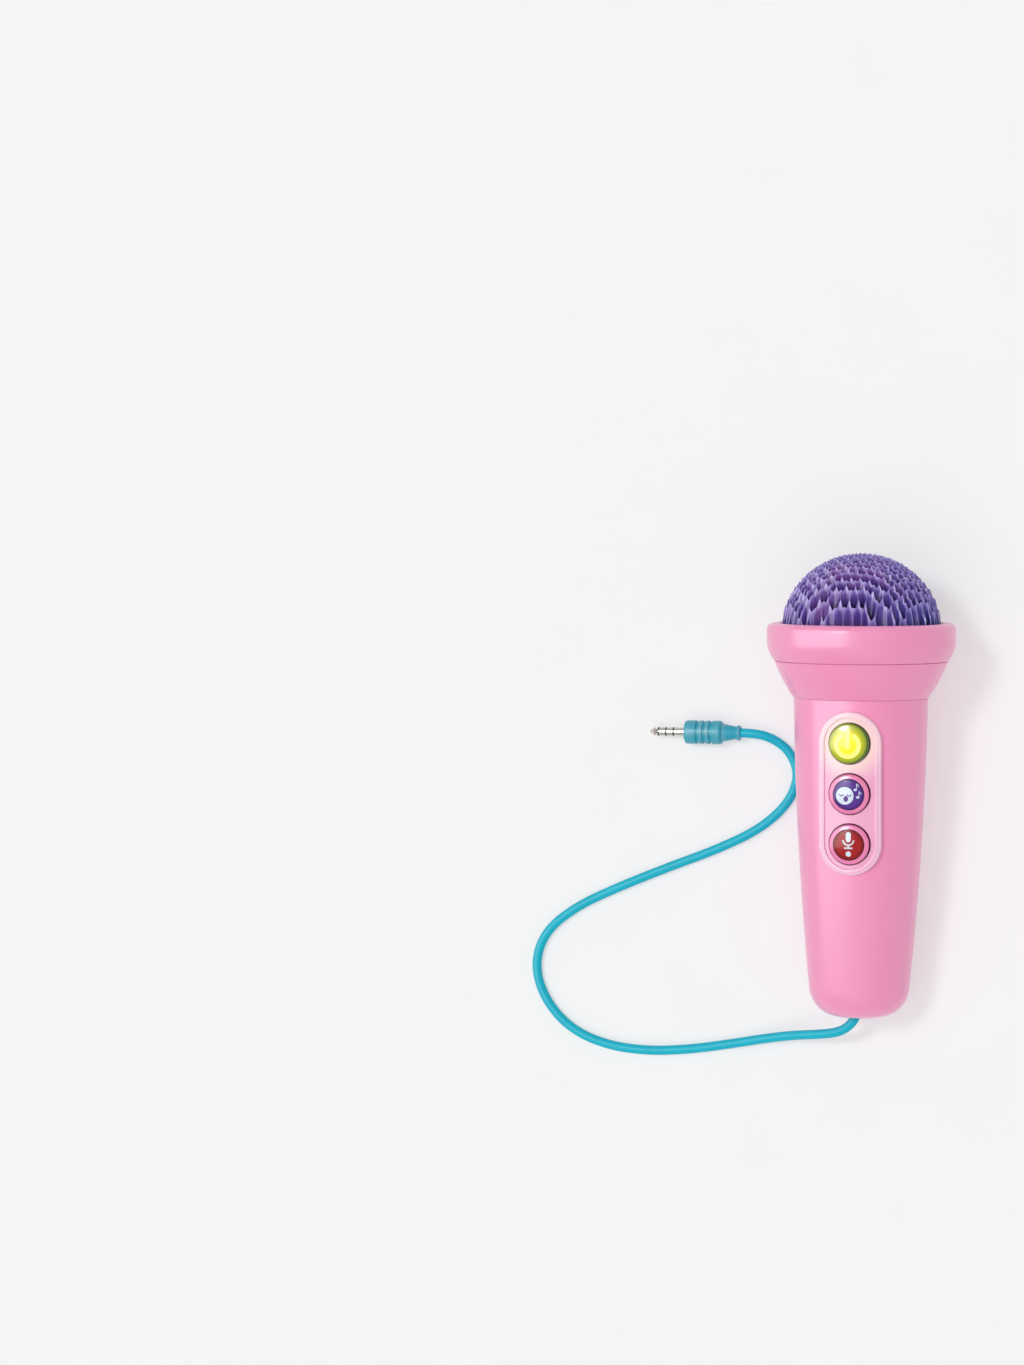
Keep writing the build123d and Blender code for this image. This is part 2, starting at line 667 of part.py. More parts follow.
def plug_relief():
    """Tapered rubber sleeve with a flared end where the cord enters the plug."""
    length = PLUG_RELIEF_LENGTH
    outline = Polyline((0, 0), (2.9, 0), (3.0, 0.9), (2.45, 1.6), (3.5, length), (0, length), close=True)
    return along_plug(0, turned(outline.edges()))


def plug_grip():
    """Moulded grip with three shallow finger grooves."""
    length = PLUG_GRIP_LENGTH
    body = Cylinder(PLUG_GRIP_R, length, align=STANDING)
    body = fillet(body.edges().filter_by(GeomType.CIRCLE), 1.2)
    for groove in range(3):
        body -= Pos(0, 0, 4.5 + 2.6 * groove) * (Cylinder(PLUG_GRIP_R + 1, 1.2) - Cylinder(PLUG_GRIP_R - 0.45, 2))
    return along_plug(PLUG_RELIEF_LENGTH, body)



def jack_contact(span):
    return along_plug(JACK_START + span[0], Cylinder(JACK_R, span[1] - span[0], align=STANDING))


def jack_insulators():
    gaps = [(JACK_SLEEVE[1], JACK_RING_2[0]), (JACK_RING_2[1], JACK_RING_1[0]), (JACK_RING_1[1], JACK_TIP_START)]
    return Part() + [jack_contact(gap) for gap in gaps]


def jack_tip():
    """Tip with the waist that the socket's spring drops into."""
    length = JACK_LENGTH - JACK_TIP_START
    outline = Polyline((0, 0), (1.1, 0), (1.1, 0.35), (JACK_R, 1.5), (0.45, length), (0, length), close=True)
    return along_plug(JACK_START + JACK_TIP_START, turned(outline.edges()))


def on_panel(name, shape):
    return PANEL * Pos(0, button_places()[name], 0) * shape


UPRIGHT = {
    "handle_front_shell": front_shell(),
    "handle_rear_shell": rear_shell(),
    "case_screws": case_screws(),
    "collar_cup": collar_cup(),
    "collar_screws": collar_screws(),
    "grille_ring": grille_ring(),
    "grille_dome": grille_dome(),
    "foam_liner": foam_liner(),
    "capsule_mount": capsule_mount(),
    "capsule_boot": capsule_boot(),
    "mic_capsule": mic_capsule(),
    "capsule_leads": capsule_leads(),
    "panel_bezel": panel_bezel(),
    "power_button": on_panel("power", button_cap(recess=False)),
    "voice_button": on_panel("voice", button_cap(recess=True)),
    "voice_inlay": on_panel("voice", button_inlay()),
    "record_button": on_panel("record", button_cap(recess=True)),
    "record_inlay": on_panel("record", button_inlay()),
    "keypad_mat": keypad_mat(),
    "button_board": button_board(),
    "board_chip": board_chip(),
    "board_components": board_components(),
    "board_screws": board_screws(),
    "power_leds": power_leds(),
    "capsule_connector": connector(CAPSULE_CONNECTOR_Y),
    "cord_connector": connector(CORD_CONNECTOR_Y),
    "cord_leads": cord_leads(),
    "cord_inner_end": cord_inner_end(),
    "cord_grommet": cord_grommet(),
    "cord_clamp": cord_clamp(),
    "clamp_screws": clamp_screws(),
}

LYING = {
    "cord": cord(),
    "plug_relief": plug_relief(),
    "plug_grip": plug_grip(),
    "jack_sleeve": jack_contact(JACK_SLEEVE),
    "jack_ring_2": jack_contact(JACK_RING_2),
    "jack_ring_1": jack_contact(JACK_RING_1),
    "jack_tip": jack_tip(),
    "jack_insulators": jack_insulators(),
}

for node, shape in UPRIGHT.items():
    export_step(lay_down(shape), f"parts/{node}.step")
for node, shape in LYING.items():
    export_step(shape, f"parts/{node}.step")
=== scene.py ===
import json
import math

import bmesh
import bpy
import numpy as np
from mathutils import Matrix, Vector, noise

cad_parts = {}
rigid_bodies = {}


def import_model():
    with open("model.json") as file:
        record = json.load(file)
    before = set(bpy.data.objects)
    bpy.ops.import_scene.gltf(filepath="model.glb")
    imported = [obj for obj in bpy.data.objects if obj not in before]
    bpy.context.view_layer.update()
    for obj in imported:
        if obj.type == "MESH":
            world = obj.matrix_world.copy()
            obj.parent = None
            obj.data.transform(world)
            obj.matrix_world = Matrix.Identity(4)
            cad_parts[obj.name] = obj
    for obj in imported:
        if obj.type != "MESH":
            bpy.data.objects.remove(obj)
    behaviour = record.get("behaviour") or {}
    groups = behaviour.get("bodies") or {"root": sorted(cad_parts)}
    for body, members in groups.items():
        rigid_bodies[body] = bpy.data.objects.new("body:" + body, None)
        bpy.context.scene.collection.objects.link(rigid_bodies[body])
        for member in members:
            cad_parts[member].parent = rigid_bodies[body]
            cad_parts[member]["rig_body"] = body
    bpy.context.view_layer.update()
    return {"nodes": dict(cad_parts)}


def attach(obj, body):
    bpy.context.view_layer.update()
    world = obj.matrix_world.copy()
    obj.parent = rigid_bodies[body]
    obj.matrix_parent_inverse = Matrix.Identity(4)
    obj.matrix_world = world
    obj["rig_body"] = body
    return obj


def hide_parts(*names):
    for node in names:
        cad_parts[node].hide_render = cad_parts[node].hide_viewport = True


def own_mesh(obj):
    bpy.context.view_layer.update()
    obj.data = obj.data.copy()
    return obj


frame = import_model()
nodes = frame["nodes"]

# ---------------------------------------------------------------------------------------------
# Camera. The microphone lies on its back on a pale table, and the camera looks almost straight
# down on it from a metre and a quarter, a little to its right.
LENS = 85.0
camera_data = bpy.data.cameras.new("camera")
camera_data.lens = LENS
camera_data.sensor_width = 36.0
camera_data.clip_end = 20.0
camera = bpy.data.objects.new("camera", camera_data)
camera.matrix_world = (
    Matrix.Translation((0.1996, -0.0472, 1.2364))
    @ Matrix.Rotation(math.radians(15.61), 4, "Y")
    @ Matrix.Rotation(math.radians(3.84), 4, "X")
    @ Matrix.Rotation(math.radians(1.94), 4, "Z")
)
bpy.context.scene.collection.objects.link(camera)
bpy.context.scene.camera = camera
bpy.context.scene.view_settings.view_transform = "Standard"


# ---------------------------------------------------------------------------------------------
# Cord. Soft PVC jacket over four thin cores, 3.6 mm across. It leaves the bell mouth at the
# handle's end, drops to the table and lies there in one loose S up to its plug.
CORD_DIAMETER = 0.0036
CORD_ROUTE = [
    (0.0, -0.07852, 0.01845), (0.0, -0.0833, 0.01784), (-0.0013, -0.0878, 0.0171),
    (-0.0041, -0.0913, 0.0161), (-0.0085, -0.0937, 0.0145), (-0.0158, -0.0948, 0.0118),
    (-0.0265, -0.0957, 0.0072), (-0.0385, -0.0976, 0.0034), (-0.053, -0.1005, 0.00185),
    (-0.069, -0.1033, 0.0018), (-0.086, -0.1046, 0.0018), (-0.1025, -0.1029, 0.0018),
    (-0.117, -0.0971, 0.0018), (-0.1275, -0.0862, 0.0018), (-0.1322, -0.0728, 0.0018),
    (-0.1284, -0.0596, 0.0018), (-0.116, -0.0493, 0.0018), (-0.0995, -0.0413, 0.0018),
    (-0.08, -0.033, 0.0018), (-0.06, -0.0252, 0.0018), (-0.0433, -0.0169, 0.0018),
    (-0.0322, -0.0066, 0.0018), (-0.0283, 0.0044, 0.0018), (-0.032, 0.0134, 0.002),
    (-0.0382, 0.0182, 0.0034), (-0.045, 0.0203, 0.0046), (-0.0515, 0.0203, 0.0046),
]


def link_piece(name, data):
    piece = bpy.data.objects.new(name, data)
    bpy.context.scene.collection.objects.link(piece)
    return piece


def add_node(tree, kind, inputs=None, **settings):
    """Node with its settings; an input is a value or the socket that feeds it."""
    node = tree.nodes.new(kind)
    for setting, value in settings.items():
        setattr(node, setting, value)
    for socket, value in (inputs or {}).items():
        if isinstance(value, bpy.types.NodeSocket):
            tree.links.new(value, node.inputs[socket])
        else:
            node.inputs[socket].default_value = value
    return node


def ranged(tree, value, low, high, start=0.0, end=1.0, **settings):
    """The value carried over from the range low to high to the range start to end."""
    return add_node(tree, "ShaderNodeMapRange", {
        "Value": value, "From Min": low, "From Max": high, "To Min": start, "To Max": end},
        **settings).outputs[0]


def math_node(tree, operation, *values):
    return add_node(tree, "ShaderNodeMath", dict(enumerate(values)), operation=operation).outputs[0]


def new_group(name, inputs, outputs):
    """Shader node group with float inputs given as {name: default} and outputs as {name: type}."""
    group = bpy.data.node_groups.new(name, "ShaderNodeTree")
    for socket, default in inputs.items():
        made = group.interface.new_socket(name=socket, in_out="INPUT", socket_type="NodeSocketFloat")
        made.default_value = default
    for socket, kind in outputs.items():
        group.interface.new_socket(name=socket, in_out="OUTPUT", socket_type=kind)
    return group, group.nodes.new("NodeGroupInput"), group.nodes.new("NodeGroupOutput")


def make_moulded_skin():
    """Surface of a moulded part: fine ripple, broad cloudiness, and a gloss that varies with it."""
    group, given, out = new_group(
        "moulded_skin",
        {"Grain per metre": 1800.0, "Grain height": 0.00001, "Cloud per metre": 60.0,
         "Roughness": 0.3, "Roughness spread": 0.08},
        {"Cloud": "NodeSocketFloat", "Roughness": "NodeSocketFloat", "Normal": "NodeSocketVector"},
    )
    place = add_node(group, "ShaderNodeTexCoord").outputs["Object"]
    grain = add_node(group, "ShaderNodeTexNoise", {
        "Vector": place, "Scale": given.outputs["Grain per metre"], "Detail": 2.0})
    cloud = add_node(group, "ShaderNodeTexNoise", {
        "Vector": place, "Scale": given.outputs["Cloud per metre"], "Detail": 4.0, "Roughness": 0.6})
    around = math_node(group, "SUBTRACT", cloud.outputs["Fac"], 0.5)
    spread = math_node(group, "MULTIPLY_ADD", around, given.outputs["Roughness spread"],
                       given.outputs["Roughness"])
    bump = add_node(group, "ShaderNodeBump", {
        "Height": grain.outputs["Fac"], "Distance": given.outputs["Grain height"], "Strength": 1.0})
    group.links.new(cloud.outputs["Fac"], out.inputs["Cloud"])
    group.links.new(spread, out.inputs["Roughness"])
    group.links.new(bump.outputs["Normal"], out.inputs["Normal"])
    return group


def make_edge_rub():
    """Mask along outer edges, broken up by noise, where handling polishes and pales the plastic."""
    group, given, out = new_group(
        "edge_rub", {"Amount": 0.5, "Patches per metre": 400.0}, {"Mask": "NodeSocketFloat"})
    convex = ranged(group, add_node(group, "ShaderNodeNewGeometry").outputs["Pointiness"], 0.51, 0.58)
    patches = add_node(group, "ShaderNodeTexNoise", {
        "Vector": add_node(group, "ShaderNodeTexCoord").outputs["Object"],
        "Scale": given.outputs["Patches per metre"], "Detail": 3.0})
    broken = math_node(group, "MULTIPLY", convex, patches.outputs["Fac"])
    mask = add_node(group, "ShaderNodeMath", {0: broken, 1: given.outputs["Amount"]},
                    operation="MULTIPLY", use_clamp=True)
    group.links.new(mask.outputs[0], out.inputs["Mask"])
    return group


moulded_skin = make_moulded_skin()
edge_rub = make_edge_rub()


def mixed(tree, factor, first, second):
    """Colour mix; factor and both colours are values or sockets. Returns the result's socket."""
    mix = add_node(tree, "ShaderNodeMix", data_type="RGBA")
    for socket, value in (("Factor_Float", factor), ("A_Color", first), ("B_Color", second)):
        target = next(s for s in mix.inputs if s.identifier == socket)
        if isinstance(value, bpy.types.NodeSocket):
            tree.links.new(value, target)
        else:
            target.default_value = value
    return next(s for s in mix.outputs if s.identifier == "Result_Color")


def skin_material(name, colour, pale, roughness, grain_height=0.000006, grain=1800.0, rub=0.4,
                  cloud=60.0, settings=None):
    """Moulded plastic or rubber: clouded between two colours, rippled, and paler on rubbed edges."""
    material = bpy.data.materials.new(name)
    material.use_nodes = True
    tree = material.node_tree
    surface = tree.nodes["Principled BSDF"]
    skin = add_node(tree, "ShaderNodeGroup", {
        "Grain per metre": grain, "Grain height": grain_height, "Cloud per metre": cloud,
        "Roughness": roughness}, node_tree=moulded_skin)
    worn = add_node(tree, "ShaderNodeGroup", {"Amount": rub}, node_tree=edge_rub)
    clouded = mixed(tree, skin.outputs["Cloud"], (*colour, 1.0), (*pale, 1.0))
    rubbed = mixed(tree, worn.outputs["Mask"], clouded, (*[0.4 + 0.6 * c for c in pale], 1.0))
    tree.links.new(rubbed, surface.inputs["Base Color"])
    tree.links.new(skin.outputs["Roughness"], surface.inputs["Roughness"])
    tree.links.new(skin.outputs["Normal"], surface.inputs["Normal"])
    for socket, value in (settings or {}).items():
        surface.inputs[socket].default_value = value
    return material


cord_skin = skin_material("cord_pvc", (0.002, 0.42, 0.56), (0.006, 0.52, 0.66), 0.42,
                          grain_height=0.00001, grain=2600.0, rub=0.0,
                          settings={"Specular IOR Level": 0.25})
cord_curve = bpy.data.curves.new("cord", "CURVE")
cord_curve.dimensions = "3D"
cord_curve.resolution_u = 14
cord_curve.bevel_depth = CORD_DIAMETER / 2
cord_curve.bevel_resolution = 8
cord_curve.use_fill_caps = True
cord_line = cord_curve.splines.new("NURBS")
cord_line.points.add(len(CORD_ROUTE) - 1)
for control, place in zip(cord_line.points, CORD_ROUTE):
    control.co = (*place, 1.0)
cord_line.order_u = 3
cord_line.use_endpoint_u = True
cord_curve.materials.append(cord_skin)
cord = link_piece("cord_jacket", cord_curve)
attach(cord, "handle")
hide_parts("cord")


# ---------------------------------------------------------------------------------------------
# Plug. A moulded PVC grip with finger grooves and a ribbed taper over the cord, and a nickel
# plated four-pole jack whose contacts are parted by black nylon rings.
def merged_mesh(node, name):
    """The CAD piece's surface with its loose triangles joined up."""
    source = nodes[node].data
    places = np.empty(len(source.vertices) * 3)
    source.vertices.foreach_get("co", places)
    corners = np.empty(len(source.loops), dtype=int)
    source.loops.foreach_get("vertex_index", corners)
    points, index = np.unique(places.reshape(-1, 3).round(7), axis=0, return_inverse=True)
    faces = index.reshape(-1)[corners].reshape(-1, 3)
    whole = (faces[:, 0] != faces[:, 1]) & (faces[:, 1] != faces[:, 2]) & (faces[:, 2] != faces[:, 0])
    mesh = bpy.data.meshes.new(name)
    mesh.from_pydata(points.tolist(), [], faces[whole].tolist())
    return mesh


def smooth_copy(node, name, material, sharp_degrees=32):
    """Piece with the CAD solid's exact surface, shaded smooth up to its sharp edges."""
    mesh = merged_mesh(node, name)
    mesh.shade_smooth()
    mesh.set_sharp_from_angle(angle=math.radians(sharp_degrees))
    mesh.materials.append(material)
    piece = link_piece(name, mesh)
    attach(piece, nodes[node]["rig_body"])
    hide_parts(node)
    return piece


plug_skin = skin_material("plug_pvc", (0.008, 0.30, 0.41), (0.02, 0.40, 0.52), 0.38,
                          grain_height=0.000012, grain=2200.0, rub=0.5)
jack_plate = skin_material("nickel_plate", (0.62, 0.60, 0.55), (0.78, 0.76, 0.70), 0.16,
                           grain_height=0.000002, grain=5000.0, rub=0.2, settings={"Metallic": 1.0})
jack_nylon = skin_material("black_nylon", (0.012, 0.012, 0.013), (0.03, 0.03, 0.032), 0.4, rub=0.2)
plug_pieces = [
    smooth_copy("plug_relief", "plug_taper", plug_skin),
    smooth_copy("plug_grip", "plug_handle", plug_skin),
    smooth_copy("jack_sleeve", "jack_sleeve_contact", jack_plate),
    smooth_copy("jack_ring_2", "jack_rear_ring", jack_plate),
    smooth_copy("jack_ring_1", "jack_front_ring", jack_plate),
    smooth_copy("jack_tip", "jack_tip_contact", jack_plate),
    smooth_copy("jack_insulators", "jack_nylon_rings", jack_nylon),
]


# ---------------------------------------------------------------------------------------------
# Table and light. A pale matt light table, a key light from the upper left and a very soft fill
# overhead, and a soft box at the left that is there for its reflection along the handle only.
def reflected_box(name, place, target, size, watts):
    """Soft box that shows in glossy surfaces and lights nothing else."""
    data = bpy.data.lights.new(name, "AREA")
    data.shape = "RECTANGLE"
    data.size, data.size_y = size
    data.energy = watts
    lamp = link_piece(name, data)
    lamp.location = place
    lamp.rotation_mode = "QUATERNION"
    lamp.rotation_quaternion = (Vector(target) - Vector(place)).to_track_quat("-Z", "Y")
    lamp.visible_diffuse = False


def sun(name, towards, degrees, energy, glossy):
    data = bpy.data.lights.new(name, "SUN")
    data.angle = math.radians(degrees)
    data.energy = energy
    lamp = link_piece(name, data)
    lamp.rotation_mode = "QUATERNION"
    lamp.rotation_quaternion = Vector(towards).to_track_quat("Z", "Y")
    lamp.visible_glossy = glossy


def make_table():
    material = bpy.data.materials.new("pale_table")
    material.use_nodes = True
    tree = material.node_tree
    surface = tree.nodes["Principled BSDF"]
    fleck = add_node(tree, "ShaderNodeTexNoise", {
        "Vector": add_node(tree, "ShaderNodeTexCoord").outputs["Object"], "Scale": 30.0, "Detail": 3.0})
    tone = mixed(tree, fleck.outputs["Fac"], (0.49, 0.49, 0.495, 1.0), (0.51, 0.51, 0.51, 1.0))
    tree.links.new(tone, surface.inputs["Base Color"])
    for socket, value in (("Emission Color", (1.0, 1.0, 1.0, 1.0)), ("Emission Strength", 0.42),
                          ("Roughness", 0.9), ("Specular IOR Level", 0.2)):
        surface.inputs[socket].default_value = value
    reach = 6.0
    mesh = bpy.data.meshes.new("table_top")
    mesh.from_pydata([(-reach, -reach, 0), (reach, -reach, 0), (reach, reach, 0), (-reach, reach, 0)],
                     [], [(0, 1, 2, 3)])
    mesh.materials.append(material)
    return link_piece("table_top", mesh)


make_table()
world = bpy.data.worlds.new("studio")
world.use_nodes = True
world.node_tree.nodes["Background"].inputs["Color"].default_value = (1.0, 1.0, 1.0, 1.0)
world.node_tree.nodes["Background"].inputs["Strength"].default_value = 0.5
bpy.context.scene.world = world
sun("key", (-0.3, 0.16, 1.0), 12, 0.85, glossy=True)
sun("overhead", (0.0, -0.35, 1.0), 60, 0.75, glossy=False)
reflected_box("left_box", (-1.02, 0.05, 1.12), (0.0, 0.0, 0.03), (1.3, 2.2), 30.0)


# ---------------------------------------------------------------------------------------------
# Handle shells. Two halves moulded in glossy pink ABS, screwed together from the back; the seam
# runs along both sides, and the front half has the window for the button panel.
LIE_DEGREES, LIE_LIFT, HALF_LENGTH = 7.22, 17.44, 86.46
MM = 0.001
LYING = (
    Matrix.Translation((0.0, -HALF_LENGTH * MM, LIE_LIFT * MM))
    @ Matrix.Rotation(math.radians(LIE_DEGREES - 90), 4, "X")
    @ Matrix.Scale(MM, 4)
)


def bezier_points(a, b, c, d, steps):
    points = []
    for step in range(steps):
        t = step / steps
        weights = ((1 - t) ** 3, 3 * t * (1 - t) ** 2, 3 * t * t * (1 - t), t ** 3)
        points.append(tuple(sum(w * p[k] for w, p in zip(weights, (a, b, c, d))) for k in (0, 1)))
    return points


def arc_points(a, b, c, steps):
    """Points on the circle through three points, from a up to but not including c."""
    (ax, ay), (bx, by), (cx, cy) = a, b, c
    d = 2 * (ax * (by - cy) + bx * (cy - ay) + cx * (ay - by))
    ux = ((ax**2 + ay**2) * (by - cy) + (bx**2 + by**2) * (cy - ay) + (cx**2 + cy**2) * (ay - by)) / d
    uy = ((ax**2 + ay**2) * (cx - bx) + (bx**2 + by**2) * (ax - cx) + (cx**2 + cy**2) * (bx - ax)) / d
    radius = math.hypot(ax - ux, ay - uy)
    start, end = math.atan2(ay - uy, ax - ux), math.atan2(cy - uy, cx - ux)
    turn = math.remainder(end - start, math.tau)
    angles = [start + turn * s / steps for s in range(steps)]
    return [(ux + radius * math.cos(a), uy + radius * math.sin(a)) for a in angles]


def handle_outline():
    """Half outline of the handle's outside as (radius, height) in millimetres, from its end up."""
    end_flat, low, middle, high = 8.4, (18.9, 10.5), (23.2, 65.5), (25.2, 120.5)
    reach, lean = low[0] - end_flat, 0.518
    corner = bezier_points((end_flat, 0.0), (end_flat + reach * 0.55, 0.0),
                           (low[0] - lean, 4.725), low, 40)
    return [(5.4, 0.0), *corner, *arc_points(low, middle, high, 60), high]


def turned_normals(piece, outline):
    """Sets the exact normals of a turned surface on the faces that lie on it."""
    on_surface_mm, least_match = 0.06, 0.85
    mesh = piece.data
    upright = LYING.inverted()
    places = np.array([upright @ v.co for v in mesh.vertices])
    radial = np.hypot(places[:, 0], places[:, 1])
    line = np.array(outline)
    starts, steps = line[:-1], np.diff(line, axis=0)
    lengths = np.hypot(steps[:, 0], steps[:, 1])
    at = np.stack([radial, places[:, 2]], axis=1)
    share = np.einsum("vsk,sk->vs", at[:, None] - starts[None], steps) / lengths**2
    share = share.clip(0, 1)
    gap = at[:, None] - starts[None] - share[:, :, None] * steps[None]
    distance = np.hypot(gap[:, :, 0], gap[:, :, 1])
    nearest = distance.argmin(axis=1)
    on_line = distance.min(axis=1) < on_surface_mm
    # the tangent at the nearest spot, eased between the outline's own points
    tangents = np.gradient(line, axis=0)
    t = share[np.arange(len(at)), nearest][:, None]
    tangent = tangents[nearest] * (1 - t) + tangents[nearest + 1] * t
    out_r, out_z = tangent[:, 1], -tangent[:, 0]
    size = np.hypot(out_r, out_z)
    around = places[:, :2] / np.maximum(radial, 1e-9)[:, None]
    local = np.column_stack([around * (out_r / size)[:, None], out_z / size])
    turn = np.array(LYING.to_3x3().normalized())
    exact = local @ turn.T
    normals = np.array([n.vector for n in mesh.corner_normals])
    corner_vertex = np.array([loop.vertex_index for loop in mesh.loops])
    for face in mesh.polygons:
        corners = list(face.loop_indices)
        vertices = corner_vertex[corners]
        if on_line[vertices].all() and min(exact[vertices] @ np.array(face.normal)) > least_match:
            normals[corners] = exact[vertices]
    mesh.normals_split_custom_set(normals.tolist())


pink_case = skin_material("pink_abs", (0.93, 0.295, 0.53), (0.95, 0.325, 0.56), 0.3, rub=0.0,
                          settings={"Coat Weight": 0.3, "Coat Roughness": 0.25})
for node, name in (("handle_front_shell", "front_shell"), ("handle_rear_shell", "rear_shell")):
    turned_normals(smooth_copy(node, name, pink_case), handle_outline())


# ---------------------------------------------------------------------------------------------
# Collar and ring. The flared cup is screwed to the neck of both shells, and the smooth band is
# pushed on its spigot; both are turned shapes in the same pink ABS.
smooth_copy("collar_cup", "flared_cup", pink_case)
smooth_copy("grille_ring", "grille_band", pink_case)


# ---------------------------------------------------------------------------------------------
# Grille. One moulding in purple: an uneven net of thin walls that all run along the microphone's
# axis, cut off by a dome, so that its cells look deep at the sides and shallow at the top.
GRILLE_RADIUS, GRILLE_CENTRE = 30.8, 144.4


def vector_node(tree, operation, *values):
    return add_node(tree, "ShaderNodeVectorMath", dict(enumerate(values)), operation=operation)


def scaled(tree, vector, factor):
    return add_node(tree, "ShaderNodeVectorMath", {0: vector, "Scale": factor},
                    operation="SCALE").outputs[0]


def stored(tree, geometry, name, value, kind="FLOAT"):
    """The geometry with a value kept on its points under a name."""
    return add_node(tree, "GeometryNodeStoreNamedAttribute", {
        "Geometry": geometry, "Name": name, "Value": value}, domain="POINT", data_type=kind).outputs[0]


def kept_value(tree, name, kind="FLOAT"):
    return add_node(tree, "GeometryNodeInputNamedAttribute", {"Name": name}, data_type=kind).outputs[0]


def geometry_tree(name, inputs):
    """Geometry node tree with named inputs given as {name: (type, value)}."""
    tree = bpy.data.node_groups.new(name, "GeometryNodeTree")
    tree.interface.new_socket(name="Geometry", in_out="INPUT", socket_type="NodeSocketGeometry")
    for socket, (kind, value) in inputs.items():
        made = tree.interface.new_socket(name=socket, in_out="INPUT", socket_type=kind)
        made.default_value = value
    tree.interface.new_socket(name="Geometry", in_out="OUTPUT", socket_type="NodeSocketGeometry")
    return tree, tree.nodes.new("NodeGroupInput"), tree.nodes.new("NodeGroupOutput")


def grown_mesh(name, tree, values):
    """Plain mesh that a geometry tree makes with the given input values."""
    seed = link_piece(name + "_seed", bpy.data.meshes.new(name + "_seed"))
    modifier = seed.modifiers.new("grow", "NODES")
    modifier.node_group = tree
    sockets = {item.name: item.identifier for item in tree.interface.items_tree
               if item.in_out == "INPUT"}
    for socket, value in values.items():
        modifier[sockets[socket]] = value
    bpy.context.view_layer.update()
    mesh = bpy.data.meshes.new_from_object(seed.evaluated_get(bpy.context.evaluated_depsgraph_get()))
    mesh.name = name
    bpy.data.objects.remove(seed)
    return mesh


